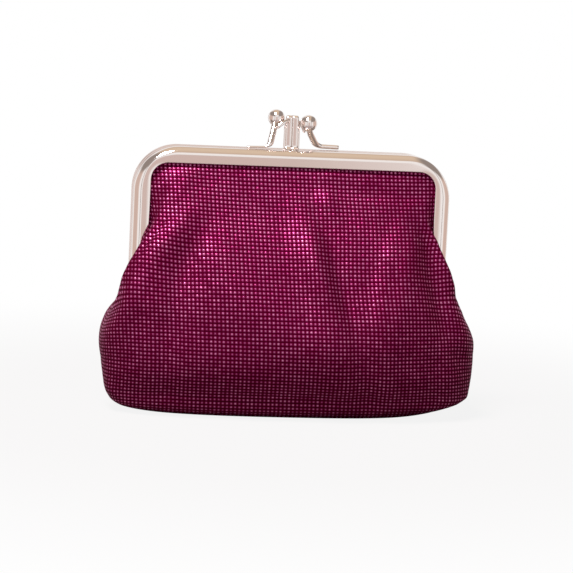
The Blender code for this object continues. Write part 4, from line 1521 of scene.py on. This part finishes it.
    def points(self) -> np.ndarray:
        """The whole net as (row, column, xyz).

        Returns:
            The control points, from edge to edge in each row.
        """
        floor = self.layer.inset
        top = self.shape.outline.top_z
        rows = [self.channel_row(top - rise * MM) for rise in self.channel_rises]
        rows += [self.face_row(z * MM) for z in self.face_levels]
        rows += [self.free_row(edge) for edge in self.layer.free_edge]
        for index, (level, power) in enumerate(zip(self.body_levels, self.body_powers)):
            drop = self.seam_dip * max(1 - index / self.dipping_rows, 0.0)
            rows.append(self.body_row(level * MM + floor * (1 - level / self.body_levels[0]), power, drop))
        base = self.body_row(0.0, self.base_power, 0.0) + np.array([0.0, 0.0, floor])
        seam = base * np.array([0.0, 0.0, 1.0])
        turn = np.maximum(np.cos(np.radians(self.edge_angles + self.face_angles)), 0.0)
        seam[:, 0] = self.bottom_seam_share * self.shape.half_width * turn**self.bottom_seam_power
        seam[-1, 0] = 0.0
        seam[:, 1] = -self.layer.seam_half_gap
        rows += [base, (base + seam) / 2, seam]
        half = np.array(rows)
        mirrored = half[:, -2::-1] * np.array([-1.0, 1.0, 1.0])
        return np.concatenate([half, mirrored], axis=1)


def cloth_solid(outer: np.ndarray, inner: np.ndarray) -> Part:
    """A sheet with thickness: its outer grid, its inner grid and the rim that joins them.

    Args:
        outer: points of the outer face, as (row, column, xyz).
        inner: points of the inner face.

    Returns:
        Its points and faces.
    """
    rows, columns = outer.shape[:2]
    count = rows * columns
    quads = grid_quads(rows, columns)
    index = np.arange(count).reshape(rows, columns)
    rim = np.concatenate([index[0], index[1:, -1], index[-1, -2::-1], index[-2:0:-1, 0]])
    after = np.roll(rim, -1)
    edge = np.stack([rim, after, after + count, rim + count], axis=1).tolist()
    inner_quads = (np.array(quads) + count).tolist()
    return np.concatenate([outer.reshape(-1, 3), inner.reshape(-1, 3)]), quads + inner_quads + edge


def cloth_uv(grid: np.ndarray, shear: float) -> np.ndarray:
    """The cloth's own coordinates in millimetres: along each row from the middle, and down the middle column.

    Args:
        grid: the face's points.
        shear: how far the warp threads lean, as a slope.

    Returns:
        A (u, v) pair for each point.
    """
    middle = grid.shape[1] // 2
    across = run_lengths(grid, 1)
    u = (across - across[:, middle : middle + 1]) / MM
    v = run_lengths(grid, 0)[:, middle : middle + 1] / MM
    return side_by_side(u + shear * v, v)


def cloth_piece(name: str, side: Side, outer: np.ndarray, inner: np.ndarray, shear: float) -> Object:
    """One side's cloth as a piece: its two faces, worked out for the front, turned to the side it is for.

    Args:
        name: the piece's name.
        side: the side it is for.
        outer: the grid of the face that looks out of the purse.
        inner: the grid of the face that looks into it.
        shear: how far the warp threads lean, as a slope.

    Returns:
        The new object, with its pattern's coordinates.
    """
    uv = cloth_uv(outer, shear)
    turned = np.array([1.0, -side.value, 1.0])
    return add_piece(name, cloth_solid(outer * turned, inner * turned), np.concatenate([uv, uv]), CLOTH_SHARP)


def bend_with_frame(piece: Object, side: Side) -> None:
    """Bakes a cloth piece's transform into its mesh and reports it, with the body of its side's frame.

    Args:
        piece: the cloth.
        side: the side whose frame it hangs from.
    """
    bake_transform(piece)
    log.info("%s bends between pouch and %s: %d faces", piece.name, side.body.value, len(piece.data.polygons))


@dataclass(frozen=True)
class OuterCloth:
    """One side of the pouch in foil-dotted cloth, from the channel over the face to the bottom's seam."""

    side: Side
    shape: PouchShape
    folds: tuple[Fold, ...]
    rows: int = 190
    columns: int = 221
    shear: float = 0.06
    hem_clear: float = 5.0 * MM
    hem: float = 2.5 * MM
    turned_aside: tuple[float, float] = (0.35, 0.9)
    top_fade: tuple[float, float] = (64.0, 66.8)
    foot_fade: tuple[float, float] = (1.0, 6.0)
    crease_share: float = 0.5
    flat_depth: float = 5.9
    least_room: float = 0.05
    edge_clear: float = 0.1 * MM

    def face(self) -> np.ndarray:
        """The outer face: the smooth net surface, moved along its normals by the folds.

        The folds fade out near the free edge, under the top lip, at the foot and where the face turns aside.
        A crease gets no deeper than the room over the lining: -room * tanh(depth / room).

        Returns:
            The points as (row, column, xyz), worked out for the front.
        """
        net = PouchNet(self.shape, OUTER_LAYER).points()
        grid = self.shape.settle(spline_surface(net, self.rows, self.columns), self.side)
        normals = grid_normals(grid)
        x, y, z = np.moveaxis(grid / MM, -1, 0)
        across = run_lengths(grid, 1)
        edge = np.minimum(across, across[:, -1:] - across)
        free = smooth_step(edge, self.hem, self.hem + self.hem_clear)
        free = free * smooth_step(-normals[..., 1], *self.turned_aside)
        free = free * (1 - smooth_step(z, *self.top_fade)) * smooth_step(z, *self.foot_fade)
        lift = sum(fold.lift(x, z) for fold in self.folds) * free
        room = np.maximum(self.crease_share * (np.abs(y) - self.flat_depth), self.least_room) * MM
        lift = np.where(lift < 0, room * np.tanh(lift / room), lift)
        return grid + normals * lift[..., None]

    def build(self, finish: Material) -> Object:
        """Builds the cloth with its thickness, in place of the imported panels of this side.

        Args:
            finish: the cloth's material.

        Returns:
            The new piece.
        """
        outer = self.face()
        inner = outer - grid_normals(outer) * OUTER_LAYER.thickness
        inner[:, [0, -1], 1] = np.minimum(inner[:, [0, -1], 1], -self.edge_clear)
        piece = cloth_piece(self.side.word + "_foil_cloth", self.side, outer, inner, self.shear)
        dress(piece, finish)
        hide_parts(self.side.word + "_panel_upper", self.side.word + "_panel_lower")
        bend_with_frame(piece, self.side)
        return piece


@dataclass(frozen=True)
class Lining:
    """One side's black lining: it hangs nearly straight from the frame, and lies on the cloth lower down."""

    side: Side
    shape: PouchShape
    rows: int = 120
    columns: int = 121
    ripple: float = 0.25 * MM
    ripple_reach: float = 3.7
    ripple_sway: float = 0.8
    sway_reach: float = 6.0
    small_share: float = 0.6
    small_reach: tuple[float, float] = (2.1, 9.0)
    edge_fade: tuple[float, float] = (3 * MM, 10 * MM)
    foot_fade: tuple[float, float] = (34.0, 42.0)
    top_fade: tuple[float, float] = (56.0, 64.0)
    divider_clear: float = 0.4 * MM

    def face(self) -> np.ndarray:
        """The face towards the outer cloth, with slack ripples: sines across and down, faded at the edges.

        Returns:
            The points as (row, column, xyz), worked out for the front.
        """
        net = PouchNet(self.shape, LINING_LAYER).points()
        grid = self.shape.settle(spline_surface(net, self.rows, self.columns), self.side)
        x, z = grid[..., 0] / MM, grid[..., 2] / MM
        across = run_lengths(grid, 1)
        edge = np.minimum(across, across[:, -1:] - across)
        free = smooth_step(edge, *self.edge_fade) * smooth_step(z, *self.foot_fade)
        free = free * (1 - smooth_step(z, *self.top_fade))
        wave = np.sin(x / self.ripple_reach + self.ripple_sway * np.sin(z / self.sway_reach))
        wave = wave + self.small_share * np.sin(x / self.small_reach[0] - z / self.small_reach[1])
        return grid + grid_normals(grid) * (wave * free * self.ripple)[..., None]

    def build(self, finish: Material) -> Object:
        """Builds the lining with its thickness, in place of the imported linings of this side.

        Args:
            finish: the lining's material.

        Returns:
            The new piece.
        """
        outer = self.face()
        inner = outer - grid_normals(outer) * LINING_LAYER.thickness
        inner[..., 1] = np.minimum(inner[..., 1], -self.divider_clear)
        piece = cloth_piece(self.side.word + "_lining_twill", self.side, outer, inner, shear=0.0)
        dress(piece, finish)
        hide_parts(self.side.word + "_lining_upper", self.side.word + "_lining_lower")
        bend_with_frame(piece, self.side)
        return piece


@dataclass(frozen=True)
class Divider:
    """The sheet between the pockets: in the middle frame's channel above, sewn in at the side seams below."""

    shape: PouchShape
    thickness: float = 0.6 * MM
    top_z: float = 70.2 * MM
    floor_z: float = 1.7 * MM
    waist_x: float = 38.4 * MM
    grip: float = 1.3 * MM
    frame_end_z: float = 36.3 * MM
    seam_top_z: float = 26.6 * MM
    seam_inset: float = 3.2 * MM
    taper_z: float = 5 * MM
    floor_share: float = 0.9
    wave: float = 0.12 * MM
    wave_reach: float = 5 * MM
    foot_fade: tuple[float, float] = (6 * MM, 16 * MM)
    top_fade: tuple[float, float] = (50 * MM, 62 * MM)
    rows: int = 90
    columns: int = 61

    def half_width_at(self, z: np.ndarray) -> np.ndarray:
        """Half its width: the frame's less the grip, narrow between the hinges, the seam's below them.

        Args:
            z: the heights.

        Returns:
            The half width at each.
        """
        high = self.shape.outline.half_width_at(self.grip, z)
        taper = np.interp(z, (self.floor_z, self.taper_z), (self.floor_share, 1.0))
        low = self.shape.width_at(z, self.seam_inset) * taper
        return np.where(z < self.seam_top_z, low, np.where(z > self.frame_end_z, high, self.waist_x))

    def build(self, finish: Material) -> Object:
        """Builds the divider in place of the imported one: x = half width * share across, y nearly 0.

        Args:
            finish: the lining's material.

        Returns:
            The new piece.
        """
        z = np.linspace(self.top_z, self.floor_z, self.rows)
        share = np.linspace(1.0, -1.0, self.columns)
        x = self.half_width_at(z)[:, None] * share
        rise = z[:, None]
        free = smooth_step(rise, *self.foot_fade) * (1 - smooth_step(rise, *self.top_fade))
        wave = self.wave * np.sin(x / self.wave_reach) * free * (1 - share**4)
        y = -self.thickness / 2 + wave
        front, back = side_by_side(x, y, rise), side_by_side(x, y + self.thickness, rise)
        uv = side_by_side(x / MM, rise / MM)
        piece = add_piece("divider_twill", cloth_solid(front, back), np.concatenate([uv, uv]), CLOTH_SHARP)
        dress(piece, finish)
        carry(piece, Body.POUCH, "divider")
        return piece


@dataclass(frozen=True)
class PaperCord:
    """Three-ply paper twine, laid in a channel to jam the cloth."""

    word: str
    body: Body
    centre_y: float
    radius: float
    outline: FrameOutline = field(default_factory=FrameOutline)
    inset: float = 1.8 * MM
    bottom_z: float = 36.3 * MM
    ply_depth: float = 0.16
    lay_length: float = 3.2 * MM
    ring_step: float = 0.4 * MM
    ring_sides: int = 18

    def build(self, finish: Material) -> Object:
        """Builds the cord: radius * (1 - depth * (1 - |sin(3/2 (angle - turn))|)), turning as it goes.

        Args:
            finish: the paper's material.

        Returns:
            The new piece.
        """
        points, outward = self.outline.stations(self.bottom_z)
        line = points - outward * self.inset
        steps = np.linalg.norm(np.diff(line, axis=0), axis=1)
        length = np.concatenate([[0.0], np.cumsum(steps)])
        fine = np.arange(0.0, length[-1], self.ring_step)
        x, z = (np.interp(fine, length, line[:, i]) for i in (0, 1))
        out = unit(side_by_side(*(np.interp(fine, length, outward[:, i]) for i in (0, 1))))
        angle = np.linspace(0.0, 2 * pi, self.ring_sides, endpoint=False)[None]
        turn = (fine / self.lay_length * 2 * pi)[:, None]
        radius = self.radius * (1 - self.ply_depth * (1 - np.abs(np.sin(1.5 * (angle - turn)))))
        reach = radius * np.cos(angle)
        ring_x = x[:, None] + reach * out[:, 0:1]
        ring_z = z[:, None] + reach * out[:, 1:2]
        rings = side_by_side(ring_x, self.centre_y + radius * np.sin(angle), ring_z)
        piece = add_piece(self.word + "_paper_twine", loft(rings), sharp=CORD_SHARP)
        dress(piece, finish)
        carry(piece, self.body, self.word + "_paper_cord")
        return piece


# Studio


@dataclass(frozen=True)
class Studio:
    """White table, one softbox and the camera at the photograph's angle."""

    azimuth: float = radians(-8.0)
    elevation: float = radians(7.0)
    roll: float = radians(2.76)
    distance: float = 600 * MM
    target: tuple[float, float, float] = (-0.5 * MM, -4 * MM, 35.0 * MM)
    sensor: float = 36 * MM
    width_seen: float = 153.5 * MM
    clip: tuple[float, float] = (10 * MM, 20.0)
    room_light: float = 0.06
    room_stops: tuple[tuple[float, str], ...] = (
        (0.0, "#cabcb4"),
        (0.18, "#c4b8b2"),
        (0.32, "#ffffff"),
        (0.62, "#ffffff"),
        (0.72, "#d2bca8"),
        (1.0, "#e4d0b8"),
    )
    wall_stops: tuple[tuple[float, str], ...] = (
        (0.0, "#dcc8c2"),
        (0.14, "#d8c6c0"),
        (0.24, "#ffffff"),
        (0.4, "#ffffff"),
        (0.44, "#8a807e"),
        (0.48, "#8a807e"),
        (0.53, "#ffffff"),
        (0.78, "#ffffff"),
        (0.88, "#dcc4b8"),
        (1.0, "#d8c2b8"),
    )
    corner: str = "#9a908a"
    room_reach: tuple[float, float] = (0.28, 0.5)
    wall_reach: tuple[float, float] = (0.25, 0.45)
    table: str = "#948e8a"
    table_roughness: float = 0.9
    table_half: float = 3.0
    table_fade: tuple[float, float] = (0.07, 0.24)
    near_white: float = 0.88
    lamp_place: tuple[float, float, float] = (-0.3, -0.42, 0.95)
    lamp_size: float = 0.34
    lamp_power: float = 19.0
    lamp_colour: str = "#fff6fc"

    def camera(self) -> None:
        """Aims the camera at the target, then rolls it about its line of sight."""
        data = bpy.data.cameras.new("camera")
        data.sensor_width = self.sensor / MM
        data.lens = self.sensor / MM * self.distance / self.width_seen
        data.clip_start, data.clip_end = self.clip
        level = cos(self.elevation)
        back = Vector((sin(self.azimuth) * level, -cos(self.azimuth) * level, sin(self.elevation)))
        camera = bpy.data.objects.new("camera", data)
        camera.location = Vector(self.target) + back * self.distance
        camera.rotation_mode = "QUATERNION"
        aim = (-back).to_track_quat("-Z", "Y")
        camera.rotation_quaternion = aim @ Quaternion((0.0, 0.0, 1.0), self.roll)
        bpy.context.scene.collection.objects.link(camera)
        bpy.context.scene.camera = camera

    def lamp(self) -> None:
        """A square softbox, high up at the left in front of the purse and aimed at it."""
        data = bpy.data.lights.new("softbox", "AREA")
        data.shape = "SQUARE"
        data.size = self.lamp_size
        data.energy = self.lamp_power
        data.color = linear(self.lamp_colour)[:3]
        lamp = bpy.data.objects.new("softbox", data)
        lamp.location = self.lamp_place
        lamp.rotation_mode = "QUATERNION"
        lamp.rotation_quaternion = (Vector(self.target) - Vector(self.lamp_place)).to_track_quat("-Z", "Y")
        bpy.context.scene.collection.objects.link(lamp)

    def world(self) -> None:
        """White where the camera sees it, a pale room in reflections, and faint on matt surfaces.

        The room is the lighter of two gradients: one by height, in front and behind, and one from the middle
        to the sides, near the horizon. Each turns to the corners' colour outside its reach.
        """
        world = bpy.data.worlds.new("studio")
        bpy.context.scene.world = world
        world.use_nodes = True
        tree = world.node_tree
        place = add_node(tree, "TexCoord").outputs["Generated"]
        parts = add_node(tree, "SeparateXYZ", inputs={0: place})
        aside = add_node(tree, "Math", {"operation": "ABSOLUTE"}, {0: parts.outputs["X"]}).outputs[0]
        bands = []
        for along, stops, across, reach in (
            (parts.outputs["Z"], self.room_stops, aside, self.room_reach),
            (aside, self.wall_stops, parts.outputs["Z"], self.wall_reach),
        ):
            ramp = add_node(tree, "ValToRGB", inputs={"Fac": along})
            fill_ramp(ramp, stops)
            span = {"From Min": reach[0], "From Max": reach[1], "To Min": 1.0, "To Max": 0.0}
            near = add_node(tree, "MapRange", SMOOTH, {"Value": across, **span}).outputs["Result"]
            tones = {"Factor": near, MIX_A: linear(self.corner), MIX_B: ramp.outputs["Color"]}
            bands.append(add_node(tree, "Mix", RGBA, tones).outputs[MIX_RESULT])
        lighter = {**RGBA, "blend_type": "LIGHTEN"}
        room = add_node(tree, "Mix", lighter, {"Factor": 1.0, MIX_A: bands[0], MIX_B: bands[1]})
        path = add_node(tree, "LightPath")
        white = {"Factor": path.outputs["Is Camera Ray"], MIX_B: (1.0, 1.0, 1.0, 1.0)}
        colour = add_node(tree, "Mix", RGBA, {**white, MIX_A: room.outputs[MIX_RESULT]})
        faint = {"Value": path.outputs["Is Diffuse Ray"], "To Min": 1.0, "To Max": self.room_light}
        matt = add_node(tree, "MapRange", inputs=faint).outputs["Result"]
        feed(tree.nodes["Background"], {"Color": colour.outputs[MIX_RESULT], "Strength": matt})

    def floor(self) -> None:
        """A pale table that keeps the purse's shadow, and turns to plain white backdrop further out.

        The camera sees the backdrop's own white near the purse too, mixed with the table, whose shadow still
        shows. Reflections see the table near the purse, and the room beyond it.
        """
        material, tree, shader = new_material("white_table")
        feed(shader, {"Base Color": linear(self.table), "Roughness": self.table_roughness})
        place = add_node(tree, "TexCoord").outputs["Object"]
        away = add_node(tree, "VectorMath", {"operation": "LENGTH"}, {0: place}).outputs["Value"]
        path = add_node(tree, "LightPath")
        shares = []
        for ray, near in (("Is Camera Ray", self.near_white), ("Is Glossy Ray", 0.0)):
            fade = {"From Min": self.table_fade[0], "From Max": self.table_fade[1]}
            far = {"Value": away, **fade, "To Min": near, "To Max": 1.0}
            far = add_node(tree, "MapRange", SMOOTH, far).outputs["Result"]
            share = add_node(tree, "Math", {"operation": "MULTIPLY"}, {0: path.outputs[ray], 1: far})
            shares.append(share.outputs[0])
        glow = add_node(tree, "Emission", inputs={"Strength": 1.0}).outputs[0]
        gone = add_node(tree, "BsdfTransparent").outputs[0]
        seen = add_node(tree, "MixShader", inputs={0: shares[0], 1: shader.outputs[0], 2: glow}).outputs[0]
        mix = add_node(tree, "MixShader", inputs={0: shares[1], 1: seen, 2: gone}).outputs[0]
        feed(tree.nodes["Material Output"], {"Surface": mix})
        half = self.table_half
        corners = [(-half, -half, 0.0), (half, -half, 0.0), (half, half, 0.0), (-half, half, 0.0)]
        mesh = bpy.data.meshes.new("white_table")
        mesh.from_pydata(corners, [], [(0, 1, 2, 3)])
        mesh.materials.append(material)
        table = bpy.data.objects.new("white_table", mesh)
        bpy.context.scene.collection.objects.link(table)

    def build(self) -> None:
        """Sets up camera, world, table and lamp."""
        bpy.context.scene.view_settings.view_transform = "Standard"
        self.camera()
        self.world()
        self.floor()
        self.lamp()


# The front folds began as a given list, and were then moved by a least squares fit, so that their shading
# comes near the photograph's. The rear ones were given one by one.
FRONT_FOLDS = (
    Fold(-39.5, 40.9, 22.7, 32.0, 3.9, 0.69, -1.7),
    Fold(-39.1, 22.8, 82.1, 20.8, 6.3, -0.70, 4.0),
    Fold(-36.7, 42.9, 28.5, 25.8, 4.3, 0.82, -3.1),
    Fold(-30.8, 33.5, 12.4, 25.7, 3.7, -1.20, 3.6),
    Fold(-30.4, 49.3, 49.4, 19.7, 4.2, 1.05, -2.6),
    Fold(-24.2, 5.1, -92.5, 34.0, 7.2, -1.28, -1.1),
    Fold(-8.9, 56.6, -55.1, 18.3, 8.6, -0.85, 4.0),
    Fold(-8.8, 29.9, 129.9, 24.1, 7.0, 1.17, -4.0),
    Fold(4.5, 42.5, -21.1, 17.5, 3.3, 0.82, 1.9),
    Fold(7.0, 37.9, -5.1, 28.4, 4.2, 0.80, 3.7),
    Fold(8.1, 61.7, 8.4, 7.6, 3.6, 0.40, 3.5),
    Fold(9.2, 59.0, 83.4, 29.8, 9.3, -0.91, -4.0),
    Fold(13.2, 35.1, -17.2, 34.0, 2.6, -0.90, -1.0),
    Fold(15.5, 3.9, 88.7, 34.0, 4.7, -1.31, -0.5),
    Fold(22.7, 62.6, 90.1, 33.6, 2.6, -1.18, -0.5),
    Fold(22.8, 33.3, 3.7, 19.6, 2.5, 0.53, 4.0),
    Fold(23.8, 26.7, 61.6, 26.0, 8.0, 0.92, -3.9),
    Fold(27.2, 43.4, -39.1, 26.4, 3.5, 0.47, -4.0),
    Fold(29.9, 42.1, 14.5, 27.5, 4.2, 0.98, 3.9),
    Fold(38.4, 43.5, 103.2, 15.0, 5.6, 0.63, 3.6),
    Fold(38.6, 33.1, -8.4, 29.2, 3.6, -0.80, -3.8),
    Fold(40.6, 31.3, -19.3, 25.0, 2.8, -0.94, 2.9),
)
REAR_FOLDS = (
    Fold(-31.0, 48.0, 16.0, 14.0, 4.4, 1.0),
    Fold(-22.0, 44.0, 14.0, 16.0, 4.0, -1.0, 2.0),
    Fold(-4.0, 44.0, 6.0, 18.0, 5.5, 0.8, -2.0),
    Fold(8.5, 42.0, 6.0, 18.0, 3.4, -1.0, 2.0),
    Fold(28.0, 48.0, -18.0, 15.0, 4.6, 1.0),
    Fold(0.0, 26.0, 90.0, 34.0, 5.0, 0.6, -2.0),
)


def build_metal() -> None:
    """Frames, rivets and clasp in nickel plate."""
    nickel = NickelPlate().material()
    shoulder, edge, pitch = 2.5 * MM, 0.7 * MM, 4.5 * MM
    ChannelFrame("front_frame", Body.FRONT, -pitch, shoulder, edge, ear_order=0, ear_side=-1).build(nickel)
    ChannelFrame("middle_frame", Body.POUCH, 0.0, edge, edge, ear_order=1, ear_side=0).build(nickel)
    ChannelFrame("rear_frame", Body.REAR, pitch, edge, shoulder, ear_order=2, ear_side=1).build(nickel)
    HingeRivet(side=-1, word="left").build(nickel)
    HingeRivet(side=1, word="right").build(nickel)
    BallPost(
        side=Side.FRONT,
        foot_end_x=-12.8 * MM,
        bend_x=-6.8 * MM,
        foot_y=-3.4 * MM,
        foot_thickness=0.55 * MM,
        knee=(-5.6 * MM, -1.1 * MM, 76.5 * MM),
        ball=(-4.7 * MM, 1.1 * MM, 79.75 * MM),
    ).build(nickel)
    BallPost(
        side=Side.REAR,
        foot_end_x=12.9 * MM,
        bend_x=6.8 * MM,
        foot_y=3.4 * MM,
        foot_thickness=1.2 * MM,
        knee=(4.6 * MM, 1.0 * MM, 75.9 * MM),
        ball=(3.7 * MM, -1.5 * MM, 78.7 * MM),
    ).build(nickel)
    CentreCatch(
        front_arm=CatchArm(
            root=(-1.0 * MM, -0.5 * MM, 79.1 * MM),
            rise=(-2.2 * MM, -1.3 * MM, 79.0 * MM),
            fall=(-3.2 * MM, -1.75 * MM, 78.3 * MM),
            tip=(-4.35 * MM, -1.75 * MM, 77.1 * MM),
        ),
        rear_arm=CatchArm(
            root=(1.0 * MM, 0.5 * MM, 78.9 * MM),
            rise=(2.3 * MM, 1.2 * MM, 78.8 * MM),
            fall=(3.2 * MM, 1.3 * MM, 77.8 * MM),
            tip=(3.6 * MM, 1.3 * MM, 76.0 * MM),
        ),
    ).build(nickel)


def build_cloth() -> None:
    """Outer cloth, linings, divider and paper cords."""
    shape = PouchShape()
    foil = FoilDottedCloth().material()
    twill = LiningTwill().material()
    kraft = KraftPaper().material()
    for side, folds in ((Side.FRONT, FRONT_FOLDS), (Side.REAR, REAR_FOLDS)):
        OuterCloth(side, shape, folds).build(foil)
        Lining(side, shape).build(twill)
    Divider(shape).build(twill)
    PaperCord("front", Body.FRONT, centre_y=-3.9 * MM, radius=0.5 * MM).build(kraft)
    PaperCord("middle", Body.POUCH, centre_y=1.0 * MM, radius=0.4 * MM).build(kraft)
    PaperCord("rear", Body.REAR, centre_y=3.9 * MM, radius=0.5 * MM).build(kraft)


def main() -> None:
    """Builds the metal, the cloth and the studio."""
    logging.basicConfig(level=logging.INFO, format="%(message)s")
    build_metal()
    build_cloth()
    Studio().build()


if __name__ == "__main__":
    main()
